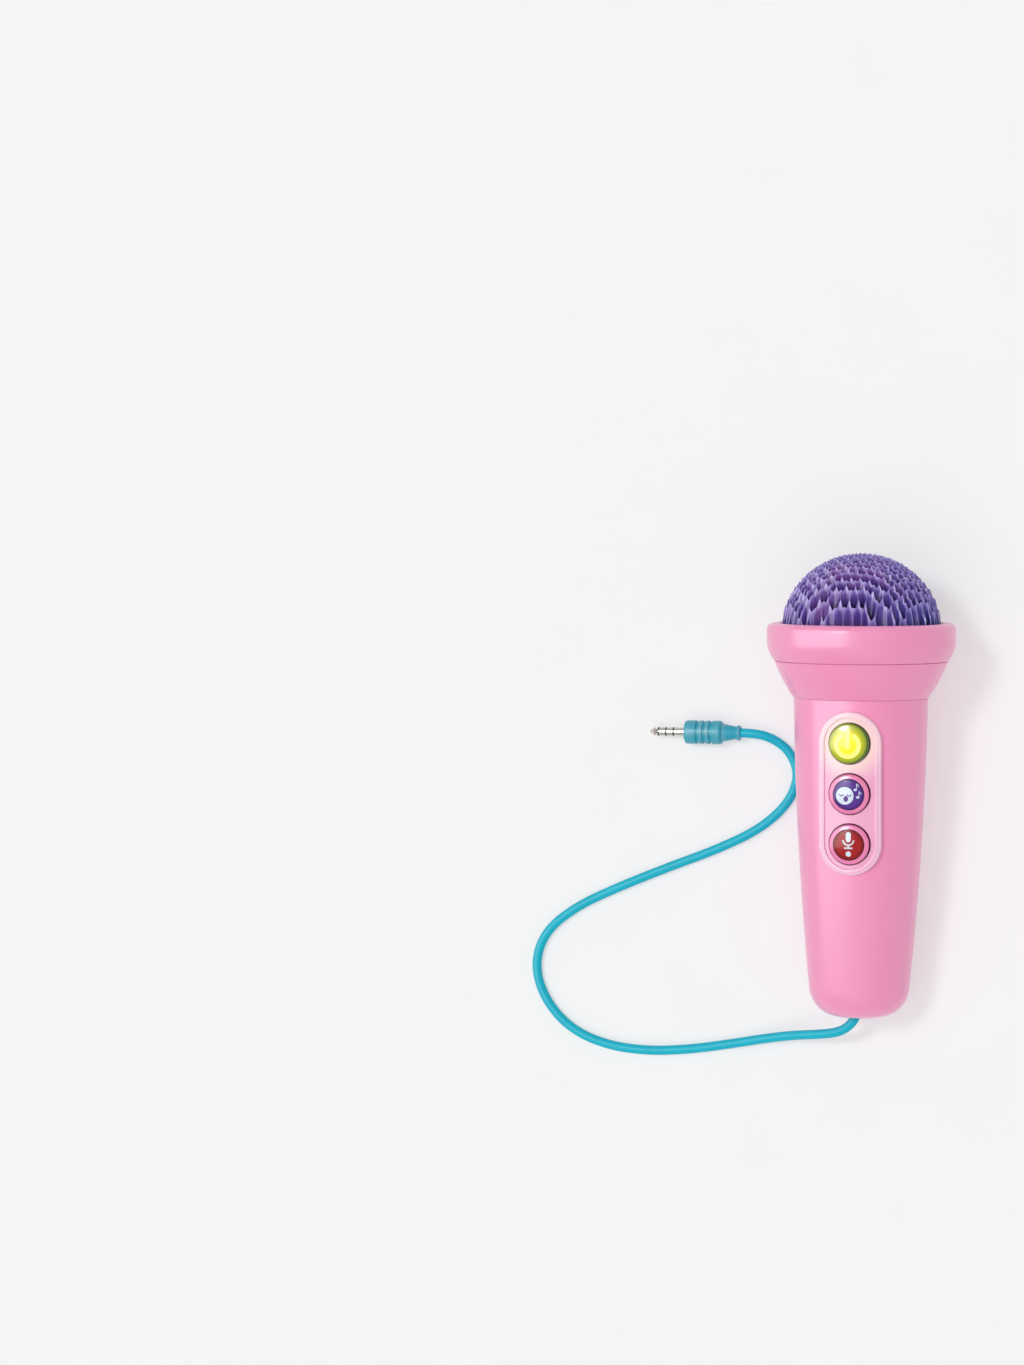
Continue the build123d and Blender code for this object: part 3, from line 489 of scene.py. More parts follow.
def lattice_tree():
    tree, given, out = geometry_tree("grille_lattice", {
        "Pitch": ("NodeSocketFloat", 3.35),
        "Unevenness": ("NodeSocketFloat", 0.92),
        "Opening": ("NodeSocketFloat", 0.86),
        "Draft": ("NodeSocketFloat", 0.1),
        "Radius": ("NodeSocketFloat", 30.1),
        "Inner radius": ("NodeSocketFloat", 26.8),
        "Centre height": ("NodeSocketFloat", 144.4),
        "Foot height": ("NodeSocketFloat", 139.3),
        "Rounding": ("NodeSocketFloat", 0.35),
        "Tips": ("NodeSocketFloat", 0.75),
        "Seed": ("NodeSocketInt", 7),
    })
    value = given.outputs
    where = add_node(tree, "GeometryNodeInputPosition").outputs[0]
    across = 25  # points along each side of the grid, enough to cover the dome
    margin, weld, steepest, least_wall = 0.9, 0.001, 2.2, 0.4

    def calc(operation, *values):
        return math_node(tree, operation, *values)

    row = calc("MULTIPLY", value["Pitch"], math.sqrt(3) / 2)
    grid = add_node(tree, "GeometryNodeMeshGrid", {
        "Size X": calc("MULTIPLY", value["Pitch"], across - 1.0),
        "Size Y": calc("MULTIPLY", row, across - 1.0),
        "Vertices X": across, "Vertices Y": across})
    # every second row moves half a pitch, then every point strays a little
    place = add_node(tree, "ShaderNodeSeparateXYZ", {"Vector": where})
    odd = calc("FLOORED_MODULO", calc("ROUND", calc("DIVIDE", place.outputs["Y"], row)), 2.0)
    half_step = add_node(tree, "ShaderNodeCombineXYZ", {
        "X": calc("MULTIPLY", odd, calc("MULTIPLY", value["Pitch"], 0.5))})
    stray = add_node(tree, "FunctionNodeRandomValue", {
        "Min": (-1.0, -1.0, 0.0), "Max": (1.0, 1.0, 0.0), "Seed": value["Seed"]},
        data_type="FLOAT_VECTOR")
    strayed = scaled(tree, stray.outputs["Value"], value["Unevenness"])
    offset = vector_node(tree, "ADD", half_step.outputs[0], strayed)
    points = add_node(tree, "GeometryNodeSetPosition", {
        "Geometry": grid.outputs["Mesh"], "Offset": offset.outputs[0]})
    triangles = add_node(tree, "GeometryNodeTriangulate", {"Mesh": points.outputs[0]})
    cells = add_node(tree, "GeometryNodeDualMesh", {"Mesh": triangles.outputs[0]})
    # keep the cells inside the dome's outline
    away = vector_node(tree, "LENGTH", where).outputs["Value"]
    kept = add_node(tree, "GeometryNodeDeleteGeometry", {
        "Geometry": cells.outputs[0],
        "Selection": calc("GREATER_THAN", away, calc("ADD", value["Radius"], margin))}, domain="FACE")
    # each cell gets an opening in its middle, which leaves the walls as a net
    rims = add_node(tree, "GeometryNodeExtrudeMesh", {"Mesh": kept.outputs[0], "Offset Scale": 0.0})
    corners = stored(tree, rims.outputs["Mesh"], "corner", where, "FLOAT_VECTOR")
    opened = add_node(tree, "GeometryNodeScaleElements", {
        "Geometry": corners, "Selection": rims.outputs["Top"], "Scale": value["Opening"]})
    net = add_node(tree, "GeometryNodeDeleteGeometry", {
        "Geometry": opened.outputs[0], "Selection": rims.outputs["Top"]}, domain="FACE")
    merged = add_node(tree, "GeometryNodeMergeByDistance", {
        "Geometry": net.outputs[0], "Distance": weld})
    # 1 on the openings' rims, 0 along the middle of the walls
    faces_there = add_node(tree, "GeometryNodeInputMeshEdgeNeighbors").outputs[0]
    on_edge = add_node(tree, "GeometryNodeFieldOnDomain", {
        "Value": calc("LESS_THAN", faces_there, 1.5)}, domain="EDGE", data_type="FLOAT")
    marked = stored(tree, merged.outputs[0], "rim", calc("GREATER_THAN", on_edge.outputs[0], 0.4))
    finer = add_node(tree, "GeometryNodeSubdivideMesh", {"Mesh": marked, "Level": 1})
    neighbours = add_node(tree, "GeometryNodeInputMeshVertexNeighbors").outputs[0]
    tipped = stored(tree, finer.outputs[0], "tip", calc("GREATER_THAN", neighbours, 4.5))
    # stand the net up as walls: a foot, a shoulder just under the crest, and the crest
    shoulder = add_node(tree, "GeometryNodeExtrudeMesh", {
        "Mesh": tipped, "Offset": (0.0, 0.0, 1.0), "Individual": False})
    crest = add_node(tree, "GeometryNodeExtrudeMesh", {
        "Mesh": shoulder.outputs["Mesh"], "Selection": shoulder.outputs["Top"],
        "Offset": (0.0, 0.0, 1.0), "Individual": False})
    under = add_node(tree, "GeometryNodeFlipFaces", {"Mesh": tipped})
    both = add_node(tree, "GeometryNodeJoinGeometry")
    tree.links.new(crest.outputs["Mesh"], both.inputs[0])
    tree.links.new(under.outputs[0], both.inputs[0])
    closed = add_node(tree, "GeometryNodeMergeByDistance", {
        "Geometry": both.outputs[0], "Distance": weld})
    spot = add_node(tree, "ShaderNodeSeparateXYZ", {"Vector": where})
    is_foot = calc("LESS_THAN", spot.outputs["Z"], 0.5)
    is_crest = calc("GREATER_THAN", spot.outputs["Z"], 1.5)
    above_foot = calc("SUBTRACT", 1.0, is_foot)
    rim, tip = kept_value(tree, "rim"), kept_value(tree, "tip")
    # the walls are thinnest at the crest: below it the openings draw in towards their centres
    flat = add_node(tree, "ShaderNodeCombineXYZ", {"X": spot.outputs["X"], "Y": spot.outputs["Y"]})
    inwards = vector_node(tree, "SUBTRACT", flat.outputs[0], kept_value(tree, "corner", "FLOAT_VECTOR"))
    closing = calc("DIVIDE", calc("MULTIPLY", value["Draft"], is_foot),
                   calc("SUBTRACT", 1.0, value["Opening"]))
    drawn = scaled(tree, inwards.outputs[0], closing)
    drafted = vector_node(tree, "ADD", flat.outputs[0], drawn).outputs[0]
    reach = vector_node(tree, "LENGTH", drafted).outputs["Value"]

    def bowl(radius):
        """Height of a sphere above its centre at this reach, or zero beyond it."""
        square = calc("SUBTRACT", calc("MULTIPLY", radius, radius), calc("MULTIPLY", reach, reach))
        return calc("SQRT", calc("MAXIMUM", square, 0.0))

    # the crest follows the dome, with a tip where walls meet, and the foot its inside
    dome = bowl(value["Radius"])
    steep = calc("MINIMUM", steepest, calc("DIVIDE", value["Radius"], calc("MAXIMUM", dome, 1.0)))
    wander = add_node(tree, "ShaderNodeTexNoise", {
        "Vector": flat.outputs[0], "Scale": 0.35, "Detail": 1.0})
    rise = calc("MULTIPLY", value["Tips"],
                calc("ADD", tip, calc("SUBTRACT", wander.outputs["Fac"], 0.75)))
    fall = calc("MULTIPLY", value["Rounding"],
                calc("ADD", rim, calc("MULTIPLY", 2.0, calc("SUBTRACT", 1.0, is_crest))))
    top = calc("ADD", calc("ADD", value["Centre height"], dome),
               calc("MULTIPLY", steep, calc("SUBTRACT", rise, fall)))
    inner = bowl(value["Inner radius"])
    lifted = calc("ADD", inner, calc("SUBTRACT", value["Centre height"], value["Foot height"]))
    foot = calc("ADD", value["Foot height"],
                calc("MULTIPLY", calc("GREATER_THAN", inner, 0.001), lifted))
    standing = calc("MAXIMUM", top, calc("ADD", foot, least_wall))
    height = calc("ADD", calc("MULTIPLY", is_foot, foot), calc("MULTIPLY", above_foot, standing))
    within = calc("MINIMUM", 1.0, calc("DIVIDE", value["Radius"], calc("MAXIMUM", reach, 0.001)))
    stands = add_node(tree, "ShaderNodeCombineXYZ", {"Z": height})
    # for the painted shade and highlight: 0 at the foot, 0.4 at the shoulder, and up to 1 on the crest's
    # tips
    on_crest = calc("ADD", calc("SUBTRACT", 0.4, calc("MULTIPLY", rim, 0.25)),
                    calc("MULTIPLY", tip, 0.2))
    near_crest = stored(tree, closed.outputs[0], "crest", calc(
        "ADD", calc("MULTIPLY", 0.4, above_foot), calc("MULTIPLY", is_crest, on_crest)))
    moved = vector_node(tree, "ADD", scaled(tree, drafted, within), stands.outputs[0])
    walls = add_node(tree, "GeometryNodeSetPosition", {
        "Geometry": near_crest, "Position": moved.outputs[0]})
    real = add_node(tree, "GeometryNodeRealizeInstances", {"Geometry": walls.outputs[0]})
    finish = add_node(tree, "GeometryNodeSetMaterial", {
        "Geometry": real.outputs[0], "Material": grille_purple})
    tree.links.new(finish.outputs[0], out.inputs[0])
    return tree


def grille_material():
    """Purple ABS with faint rose drifts; painted shade makes it dark navy deep in its cells and bluer
    on its +X side, and painted highlight makes the crests paler and cooler.
    """
    material = skin_material("purple_abs", (0.08, 0.036, 0.27), (0.115, 0.052, 0.34), 0.3, rub=0.0)
    tree = material.node_tree
    surface = tree.nodes["Principled BSDF"]
    base = surface.inputs["Base Color"].links[0].from_socket
    place = add_node(tree, "ShaderNodeTexCoord").outputs["Object"]
    drift = add_node(tree, "ShaderNodeTexNoise", {"Vector": place, "Scale": 60.0, "Detail": 2.0})
    rosy = ranged(tree, drift.outputs["Fac"], 0.48, 0.64, end=0.6)
    tinted = mixed(tree, rosy, base, (0.24, 0.065, 0.31, 1.0))
    # painted shade: bluer towards the +X side, away from the key light and the soft box
    sideways = add_node(tree, "ShaderNodeSeparateXYZ", {"Vector": place}).outputs["X"]
    painted_side_shade = mixed(tree, ranged(tree, sideways, 0.006, 0.03, end=0.75), tinted, (0.04, 0.06, 0.31, 1.0))
    crest = add_node(tree, "ShaderNodeAttribute", attribute_name="crest").outputs["Fac"]
    # painted shade: dark navy deep in the cells, down towards the foot
    sunk = ranged(tree, crest, 0.05, 0.4, start=0.92, end=0.0)
    painted_cell_shade = mixed(tree, sunk, painted_side_shade, (0.010, 0.008, 0.07, 1.0))
    # painted highlight: pale lilac on the crests and their tips
    painted_light_and_shade = mixed(tree, ranged(tree, crest, 0.5, 1.0, end=0.95), painted_cell_shade, (0.43, 0.34, 0.80, 1.0))
    tree.links.new(painted_light_and_shade, surface.inputs["Base Color"])
    return material


grille_purple = grille_material()
lattice = grown_mesh("grille_lattice", lattice_tree(), {"Seed": 7, "Radius": GRILLE_RADIUS - 0.75,
                                                        "Centre height": GRILLE_CENTRE})
lattice.transform(LYING)
lattice.shade_smooth()
lattice.set_sharp_from_angle(angle=math.radians(48))
grille = link_piece("grille_lattice", lattice)
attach(grille, "handle")
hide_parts("grille_dome")


# ---------------------------------------------------------------------------------------------
# Foam. A bowl of open-cell foam, dyed almost black, that keeps breath and crumbs off the sound
# capsule; it sits loosely behind the grille.
def turned_mesh(name, outline, around):
    """Closed surface made by turning a closed outline of (radius, height) about the axis."""
    points, faces, rings = [], [], []
    for radius, height in outline:
        if radius < 1e-6:
            rings.append([len(points)] * around)
            points.append((0.0, 0.0, height))
            continue
        rings.append(list(range(len(points), len(points) + around)))
        angles = [math.tau * k / around for k in range(around)]
        points += [(radius * math.cos(a), radius * math.sin(a), height) for a in angles]
    for low, high in zip(rings, rings[1:] + rings[:1]):
        for k in range(around):
            face = [low[k], low[(k + 1) % around], high[(k + 1) % around], high[k]]
            corners = list(dict.fromkeys(face))
            if len(corners) > 2:
                faces.append(corners)
    mesh = bpy.data.meshes.new(name)
    mesh.from_pydata(points, [], faces)
    return mesh


def foam_outline():
    outer, inner, foot, steps = 26.0, 22.7, 139.1, 26
    rise = [GRILLE_CENTRE + radius for radius in (outer, inner)]
    outside = [(outer * math.cos(a), GRILLE_CENTRE + outer * math.sin(a))
               for a in (math.pi / 2 * s / steps for s in range(steps))]
    inside = [(inner * math.cos(a), GRILLE_CENTRE + inner * math.sin(a))
              for a in (math.pi / 2 * (1 - s / steps) for s in range(1, steps + 1))]
    sides = [(outer, foot + 1.3 * s) for s in range(4)]
    return [*sides, *outside, (0.0, rise[0]), (0.0, rise[1]), *inside, (inner, foot)]


def make_foam():
    mesh = turned_mesh("foam_bowl", foam_outline(), 120)
    for vertex in mesh.vertices:
        cell = noise.noise(vertex.co * 0.9) + 0.6 * noise.noise(vertex.co * 2.1)
        axis_point = Vector((0.0, 0.0, max(vertex.co.z - 30.0, GRILLE_CENTRE)))
        vertex.co += (vertex.co - axis_point).normalized() * 0.16 * cell
    mesh.transform(LYING)
    mesh.shade_smooth()
    mesh.materials.append(skin_material("dark_foam", (0.012, 0.010, 0.05), (0.03, 0.02, 0.10), 0.95,
                                        grain_height=0.0003, grain=900.0, rub=0.0))
    return link_piece("foam_bowl", mesh)


foam = make_foam()
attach(foam, "handle")
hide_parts("foam_liner")


# ---------------------------------------------------------------------------------------------
# Button panel. A paler pink oblong bezel, snapped in the front shell's window; a cream glow from
# the lit power button is painted on it, in its colour and a faint emission.
PANEL_HEIGHT, PANEL_DEPTH, PANEL_LEAN = 86.0, 25.11, 2.3
BUTTON_PITCH, HALF_RUN = 18.8, 18.95
# painted shade for the gaps round the buttons
PAINTED_GAP_SHADE = (0.2, 0.01, 0.06)
panel_turn = Matrix(((1, 0, 0),
                     (0, -math.sin(math.radians(PANEL_LEAN)), -math.cos(math.radians(PANEL_LEAN))),
                     (0, math.cos(math.radians(PANEL_LEAN)), -math.sin(math.radians(PANEL_LEAN)))))
PANEL = LYING @ Matrix.Translation((0, -PANEL_DEPTH, PANEL_HEIGHT)) @ panel_turn.to_4x4()


def panel_place(tree):
    """Sockets with the place across, along and above the panel, in millimetres from its middle."""
    place = add_node(tree, "ShaderNodeTexCoord").outputs["Object"]
    sockets = []
    for axis in ((1, 0, 0), (0, 1, 0), (0, 0, 1)):
        direction = (PANEL.to_3x3() @ Vector(axis)).normalized()
        along = add_node(tree, "ShaderNodeVectorMath", {0: place, 1: tuple(direction)},
                         operation="DOT_PRODUCT").outputs["Value"]
        middle = direction.dot(PANEL.translation)
        sockets.append(math_node(tree, "MULTIPLY_ADD", along, 1 / MM, -middle / MM))
    return sockets


def far_from(tree, x, y):
    """Length of the way (x, y), given as sockets."""
    return math_node(tree, "SQRT", math_node(tree, "ADD", math_node(tree, "MULTIPLY", x, x),
                                             math_node(tree, "MULTIPLY", y, y)))


def from_spot(tree, spot_x, spot_y):
    x, y, _ = panel_place(tree)
    return far_from(tree, math_node(tree, "SUBTRACT", x, spot_x), math_node(tree, "SUBTRACT", y, spot_y))


def from_button(tree):
    """Distance from the middle of the nearest button."""
    x, y, _ = panel_place(tree)
    nearest = math_node(tree, "ROUND", math_node(tree, "DIVIDE", y, BUTTON_PITCH))
    nearest = math_node(tree, "MINIMUM", 1.0, math_node(tree, "MAXIMUM", -1.0, nearest))
    middle = math_node(tree, "MULTIPLY", nearest, BUTTON_PITCH)
    return far_from(tree, x, math_node(tree, "SUBTRACT", y, middle))


def from_midline(tree, half_run):
    """Distance from the straight line down the middle of the oblong."""
    x, y, _ = panel_place(tree)
    beyond = math_node(tree, "SUBTRACT", math_node(tree, "ABSOLUTE", y), half_run)
    return far_from(tree, x, math_node(tree, "MAXIMUM", beyond, 0.0))


def paint_edge_shade(tree, start, end, shade, below=9.0):
    """Paints shade: darkens the colour from start to end mm off the middle of a button, below a height.
    """
    surface = tree.nodes["Principled BSDF"]
    base = surface.inputs["Base Color"].links[0].from_socket
    mask = math_node(tree, "MULTIPLY", ranged(tree, from_button(tree), start, end),
                     ranged(tree, panel_place(tree)[2], below, below - 0.4))
    tree.links.new(mixed(tree, mask, base, (*shade, 1.0)), surface.inputs["Base Color"])


def ramped(tree, value, stops):
    """Colour at a value among stops given as (place, colour)."""
    ramp = add_node(tree, "ShaderNodeValToRGB", {"Fac": value})
    elements = ramp.color_ramp.elements
    for _ in stops[2:]:
        elements.new(0.5)
    for element, (place, colour) in zip(elements, stops):
        element.position = place
        element.color = (*colour, 1.0)
    return ramp.outputs["Color"]


def bezel_material():
    # painted glow: the faint emission, coloured by the glow mask below, stands in for the power button's
    # light
    material = skin_material("pale_pink_abs", (0.90, 0.40, 0.62), (0.93, 0.45, 0.67), 0.28, rub=0.0,
                             settings={"Coat Weight": 0.2, "Coat Roughness": 0.12,
                                       "Emission Strength": 0.14})
    tree = material.node_tree
    surface = tree.nodes["Principled BSDF"]
    base = surface.inputs["Base Color"].links[0].from_socket
    # painted glow: a cream pool of light round the power button, in the colour and the emission
    painted_glow = ranged(tree, from_spot(tree, 0.0, BUTTON_PITCH), 6.0, 16.0, start=0.85, end=0.0,
                  interpolation_type="SMOOTHSTEP")
    painted_glow_colour = mixed(tree, painted_glow, base, (0.96, 0.75, 0.66, 1.0))
    # painted highlights: pale lines along the border's two edges, where the plastic is rounded
    painted_rim_levels = [(0.0, 0.0), (0.775, 0.0), (0.8, 0.9), (0.83, 0.12), (0.9, 0.12), (0.935, 0.85),
              (0.965, 0.25)]
    rims = ramped(tree, math_node(tree, "DIVIDE", from_midline(tree, HALF_RUN), 12.0),
                  [(place, (shade, shade, shade)) for place, shade in painted_rim_levels])
    painted_rim_highlights = mixed(tree, rims, painted_glow_colour, (0.97, 0.72, 0.84, 1.0))
    tree.links.new(painted_rim_highlights, surface.inputs["Base Color"])
    tree.links.new(mixed(tree, painted_glow, (0.0, 0.0, 0.0, 1.0), (1.0, 0.72, 0.55, 1.0)),
                   surface.inputs["Emission Color"])
    # painted shade in the gap round each button hole
    paint_edge_shade(tree, 8.0, 7.88, PAINTED_GAP_SHADE)
    return material


smooth_copy("panel_bezel", "button_bezel", bezel_material())


# ---------------------------------------------------------------------------------------------
# Buttons. The power button is translucent yellow, lit from behind, with a moulded sign; its light is
# painted on as a glow. Voice and record are pink caps with glossy printed inserts glued in.
def power_material():
    """Yellow with a painted glow, brightest in the middle and in the emission too,
    and painted shade that goes to olive and dark green at its edge.
    """
    material = skin_material("yellow_painted_glow", (0.8, 0.7, 0.02), (0.9, 0.8, 0.03), 0.22, rub=0.0,
                             settings={"Coat Weight": 0.5, "Coat Roughness": 0.06})
    tree = material.node_tree
    surface = tree.nodes["Principled BSDF"]
    off_centre = ranged(tree, from_spot(tree, -0.6, BUTTON_PITCH + 0.2), 0.0, 8.0)
    # painted glow in the middle and painted shade at the edge, used for both the colour and the emission
    painted_light_and_shade = ramped(tree, off_centre, [
        (0.0, (1.0, 0.86, 0.0)), (0.45, (0.92, 0.78, 0.0)), (0.68, (0.50, 0.50, 0.004)),
        (0.89, (0.22, 0.30, 0.004)), (0.935, (0.05, 0.10, 0.004))])
    tree.links.new(painted_light_and_shade, surface.inputs["Base Color"])
    tree.links.new(painted_light_and_shade, surface.inputs["Emission Color"])
    surface.inputs["Emission Strength"].default_value = 0.24
    return material


button_pink = skin_material("button_pink_abs", (0.86, 0.20, 0.44), (0.89, 0.26, 0.49), 0.25, rub=0.0,
                            settings={"Coat Weight": 0.3, "Coat Roughness": 0.1})
# painted shade in the gap, on each cap's side below the bezel's face
paint_edge_shade(button_pink.node_tree, 7.2, 7.4, PAINTED_GAP_SHADE, below=-0.1)
inlay_settings = {"Specular IOR Level": 0.2, "Coat Weight": 0.4, "Coat Roughness": 0.1}
smooth_copy("power_button", "power_cap", power_material())
smooth_copy("voice_button", "voice_cap", button_pink)
purple_insert = skin_material("purple_insert", (0.085, 0.022, 0.26), (0.11, 0.03, 0.31), 0.22, rub=0.0,
                              settings=inlay_settings)
red_insert = skin_material("red_insert", (0.36, 0.003, 0.005), (0.43, 0.006, 0.008), 0.22, rub=0.0,
                           settings=inlay_settings)
# painted shade: each insert darker towards its edge
paint_edge_shade(purple_insert.node_tree, 4.6, 6.0, (0.025, 0.006, 0.09))
paint_edge_shade(red_insert.node_tree, 4.2, 6.0, (0.09, 0.001, 0.002))
smooth_copy("voice_inlay", "voice_insert", purple_insert)
smooth_copy("record_button", "record_cap", button_pink)
smooth_copy("record_inlay", "record_insert", red_insert)


# ---------------------------------------------------------------------------------------------
# Button signs. Thin raised prints that follow the domed tops: a power sign, a round singing face
# with notes, and a little microphone over a record dot.
LEAST_HALF = 0.02


def disc(x, y, rx, ry=None, count=16):
    """Oval as a path across it and its half width at each step."""
    ry = rx if ry is None else ry
    angles = [math.pi * k / count for k in range(count + 1)]
    return ([(x - rx * math.cos(a), y) for a in angles],
            [max(ry * math.sin(a), LEAST_HALF) for a in angles])


def stroke(path, width):
    """Band of even width with round ends, as a path and its half width at each step."""
    half, steps = width / 2, 5

    def cap(end, before):
        heading = math.atan2(end[1] - before[1], end[0] - before[0])
        angles = [math.pi / 2 * k / steps for k in range(1, steps + 1)]
        return ([(end[0] + half * math.sin(a) * math.cos(heading),
                  end[1] + half * math.sin(a) * math.sin(heading)) for a in angles],
                [max(half * math.cos(a), LEAST_HALF) for a in angles])

    start, start_widths = cap(path[0], path[1])
    finish, finish_widths = cap(path[-1], path[-2])
    return (start[::-1] + path + finish, start_widths[::-1] + [half] * len(path) + finish_widths)


def arc(x, y, radius, start, end, count=24):
    """Path along part of a circle, with angles in degrees."""
    angles = [math.radians(start + (end - start) * k / count) for k in range(count + 1)]
    return [(x + radius * math.cos(a), y + radius * math.sin(a)) for a in angles]


def note(x, y, size):
    """Quaver: an oval head, a stem and a flag."""
    stem_x = x + 0.42 * size
    return [disc(x, y, 0.5 * size, 0.38 * size),
            stroke([(stem_x, y), (stem_x, y + 1.9 * size)], 0.2 * size),
            stroke([(stem_x, y + 1.85 * size), (stem_x + 0.45 * size, y + 1.55 * size),
                    (stem_x + 0.7 * size, y + 1.1 * size)], 0.24 * size)]


def raised_print(name, shapes, button_y, crown, thickness, material, body):
    """Bands drawn on the panel, lifted a little off the button's crowned top."""
    points, faces = [], []
    top, fall, edge = crown
    sunk, sides = -0.15, (-1.0, -0.5, 0.0, 0.5, 1.0)
    for path, widths in shapes:
        first, rows = len(points), len(path)
        for raised in (thickness, sunk):
            for k, ((x, y), half) in enumerate(zip(path, widths)):
                ahead, behind = path[min(k + 1, rows - 1)], path[max(k - 1, 0)]
                heading = math.atan2(ahead[1] - behind[1], ahead[0] - behind[0])
                for side in sides:
                    px, py = x - side * half * math.sin(heading), y + side * half * math.cos(heading)
                    height = top - fall * (math.hypot(px, py) / edge) ** 2
                    points.append(PANEL @ Vector((px, py + button_y, height + raised)))
        wide = len(sides)
        for k in range(rows - 1):
            for c in range(wide - 1):
                a = first + k * wide + c
                faces.append([a, a + wide, a + wide + 1, a + 1])
                b = a + rows * wide
                faces.append([b, b + 1, b + wide + 1, b + wide])
        ring = ([k * wide for k in range(rows)] + [(rows - 1) * wide + c for c in range(1, wide)]
                + [k * wide + wide - 1 for k in range(rows - 2, -1, -1)] + list(range(wide - 2, 0, -1)))
        for here, there in zip(ring, ring[1:] + ring[:1]):
            a, b = first + here, first + there
            faces.append([a, a + rows * wide, b + rows * wide, b])
    mesh = bpy.data.meshes.new(name)
    mesh.from_pydata(points, [], faces)
    mesh.materials.append(material)
    mesh.shade_smooth()
    mesh.set_sharp_from_angle(angle=math.radians(40))
    piece = link_piece(name, mesh)
    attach(piece, body)
    return piece


CAP_CROWN = (1.9, 0.8, 6.75)
INLAY_CROWN = (2.0, 0.5, 5.5)
# painted glow: the sign's emission stands in for the light behind the power button
sign_yellow = skin_material("sign_yellow", (0.90, 0.88, 0.12), (0.95, 0.92, 0.2), 0.3, rub=0.0,
                            settings={"Emission Color": (1.0, 0.95, 0.3, 1.0),
                                      "Emission Strength": 0.35})
sign_white = skin_material("sign_white", (0.58, 0.69, 0.82), (0.80, 0.87, 0.94), 0.3, rub=0.0,
                           cloud=500.0, settings={"Coat Weight": 0.6, "Coat Roughness": 0.06})
sign_purple = skin_material("sign_purple", (0.085, 0.022, 0.26), (0.11, 0.03, 0.31), 0.25, rub=0.0)
raised_print("power_sign", [stroke(arc(-0.3, -0.5, 4.15, 125, 415, 60), 1.5),
                            stroke([(-0.3, -0.9), (-0.3, 1.0), (-0.3, 2.8), (-0.3, 4.6)], 1.5)],
             BUTTON_PITCH, CAP_CROWN, 0.16, sign_yellow, "power")
raised_print("voice_sign", [disc(-1.3, -0.4, 3.3), *note(2.6, 1.9, 1.15), *note(3.5, -0.9, 1.15)],
             0.0, INLAY_CROWN, 0.1, sign_white, "voice")
raised_print("voice_face", [disc(-0.9, -1.5, 0.85, 1.1),
                            stroke(arc(-2.5, 0.3, 0.75, 200, 340, 8), 0.36),
                            stroke(arc(0.3, 0.3, 0.75, 200, 340, 8), 0.36)],
             0.0, INLAY_CROWN, 0.17, sign_purple, "voice")
raised_print("record_sign", [stroke([(0.0, 2.1), (0.0, 3.0), (0.0, 3.9)], 1.9),
                             stroke(arc(0.0, 2.0, 2.0, 190, 350, 20), 0.5),
                             stroke([(0.0, 0.0), (0.0, -0.9)], 0.5),
                             stroke([(-1.3, -1.1), (0.0, -1.1), (1.3, -1.1)], 0.6),
                             disc(0.0, -3.3, 1.0)],
             -BUTTON_PITCH, INLAY_CROWN, 0.08, sign_white, "record")


def mat_part(name, y, ends):
    """The sheet's share round one dome, cut off and closed at the given sides."""
    mesh = merged_mesh("keypad_mat", name)
    shape = bmesh.new()
    shape.from_mesh(mesh)
    along = (PANEL.to_3x3() @ Vector((0, 1, 0))).normalized()
    for end in ends:
        cut = bmesh.ops.bisect_plane(
            shape, geom=[*shape.verts, *shape.edges, *shape.faces], clear_outer=True,
            plane_co=PANEL @ Vector((0, y + end * BUTTON_PITCH / 2, 0)), plane_no=along * end)
        rim = [part for part in cut["geom_cut"] if isinstance(part, bmesh.types.BMEdge)]
        bmesh.ops.contextual_create(shape, geom=rim)
    bmesh.ops.recalc_face_normals(shape, faces=shape.faces)
    shape.to_mesh(mesh)
    shape.free()
    mesh.shade_smooth()
    mesh.set_sharp_from_angle(angle=math.radians(32))
    return mesh


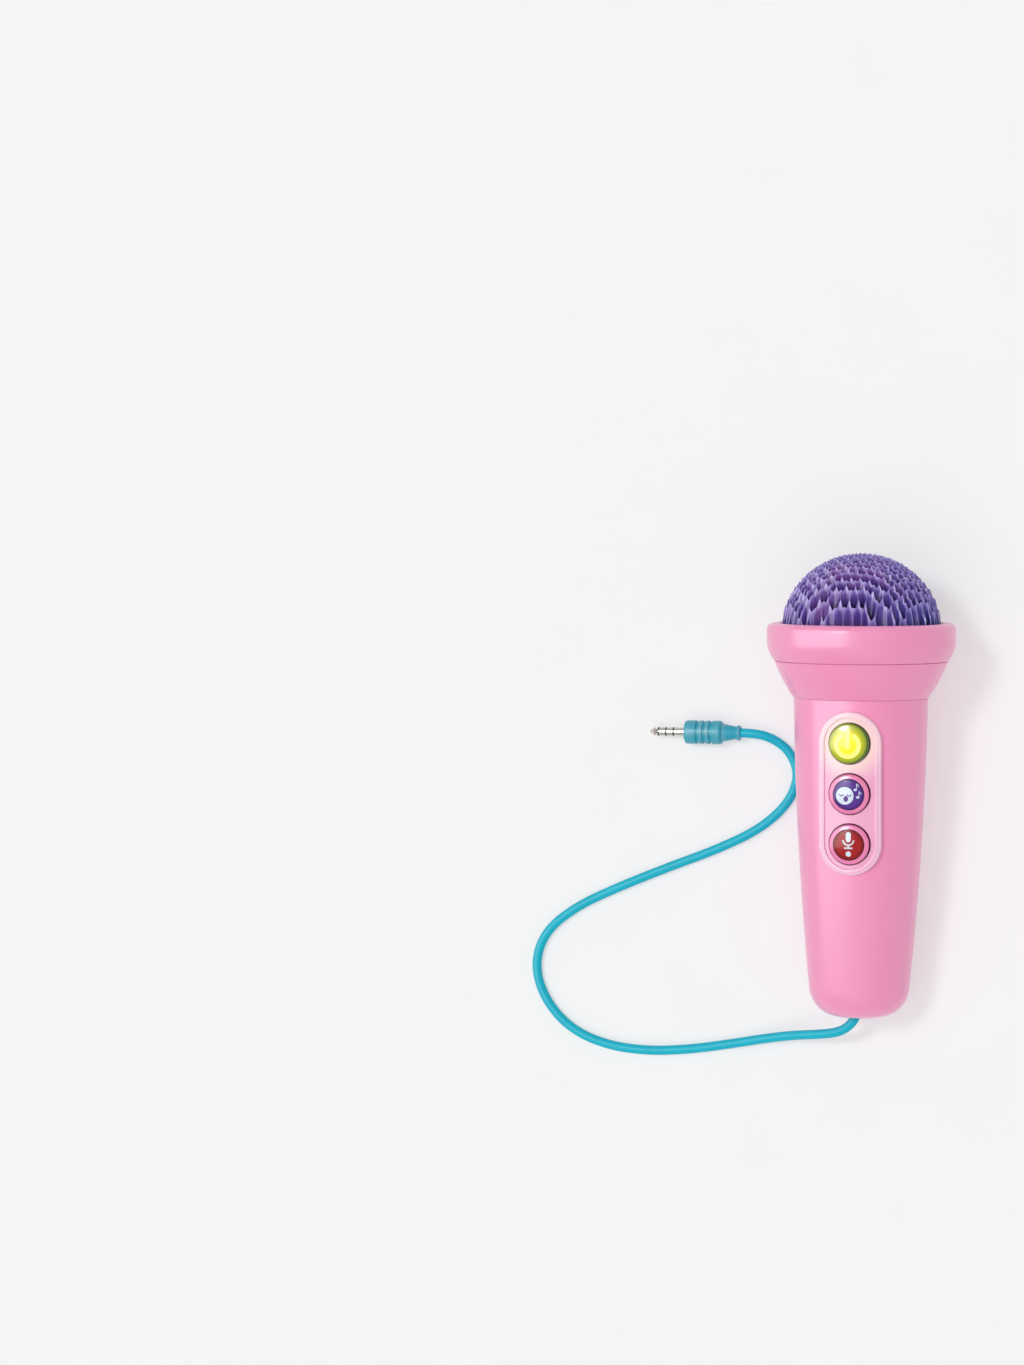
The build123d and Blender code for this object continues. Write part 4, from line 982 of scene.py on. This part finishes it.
silicone = skin_material("grey_silicone", (0.45, 0.46, 0.50), (0.55, 0.56, 0.60), 0.55)
for button, place, ends in (("power", 1, (-1,)), ("voice", 0, (-1, 1)), ("record", -1, (1,))):
    middle = place * BUTTON_PITCH
    mat_mesh = mat_part(button + "_dome", middle, ends)
    mat_mesh.materials.append(silicone)
    dome = link_piece(button + "_dome", mat_mesh)
    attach(dome, "handle")
    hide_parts("keypad_mat")
    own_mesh(dome)


# ---------------------------------------------------------------------------------------------
# Insides. The sound capsule in its rubber boot on a black disc, the green button board with its
# parts, the cord's grommet, clamp and cores, and zinc plated screws.
black_abs = skin_material("black_abs", (0.02, 0.02, 0.022), (0.035, 0.035, 0.038), 0.45)
black_rubber = skin_material("black_rubber", (0.012, 0.012, 0.012), (0.022, 0.022, 0.022), 0.7,
                             grain_height=0.00002)
insides = {
    "capsule_mount": black_abs,
    "cord_clamp": black_abs,
    "capsule_boot": black_rubber,
    "cord_grommet": black_rubber,
    "cord_inner_end": cord_skin,
    "mic_capsule": skin_material("drawn_aluminium", (0.60, 0.60, 0.62), (0.72, 0.72, 0.74), 0.28,
                                 grain=3000.0, settings={"Metallic": 1.0}),
    "button_board": skin_material("green_board", (0.008, 0.09, 0.03), (0.015, 0.14, 0.05), 0.32,
                                  grain=1200.0, cloud=300.0),
    "board_chip": skin_material("black_resin", (0.006, 0.006, 0.007), (0.015, 0.015, 0.016), 0.18),
    "board_components": skin_material("component_brown", (0.06, 0.05, 0.04), (0.16, 0.13, 0.10), 0.4,
                                      cloud=500.0),
    "power_leds": skin_material("lamp_resin", (0.85, 0.80, 0.35), (0.95, 0.92, 0.55), 0.12),
    "capsule_connector": skin_material("natural_nylon", (0.75, 0.73, 0.64), (0.85, 0.83, 0.75), 0.45),
    "cord_leads": skin_material("core_red", (0.42, 0.02, 0.02), (0.55, 0.04, 0.03), 0.4),
    "capsule_leads": skin_material("core_blue", (0.02, 0.06, 0.35), (0.03, 0.09, 0.45), 0.4),
}
insides["cord_connector"] = insides["capsule_connector"]
screw_zinc = skin_material("zinc_plate", (0.50, 0.50, 0.48), (0.68, 0.68, 0.64), 0.3, grain=4000.0,
                           settings={"Metallic": 1.0})
for kind in ("case_screws", "collar_screws", "clamp_screws", "board_screws"):
    insides[kind] = screw_zinc
for node, material in insides.items():
    nodes[node].data.materials.clear()
    nodes[node].data.materials.append(material)
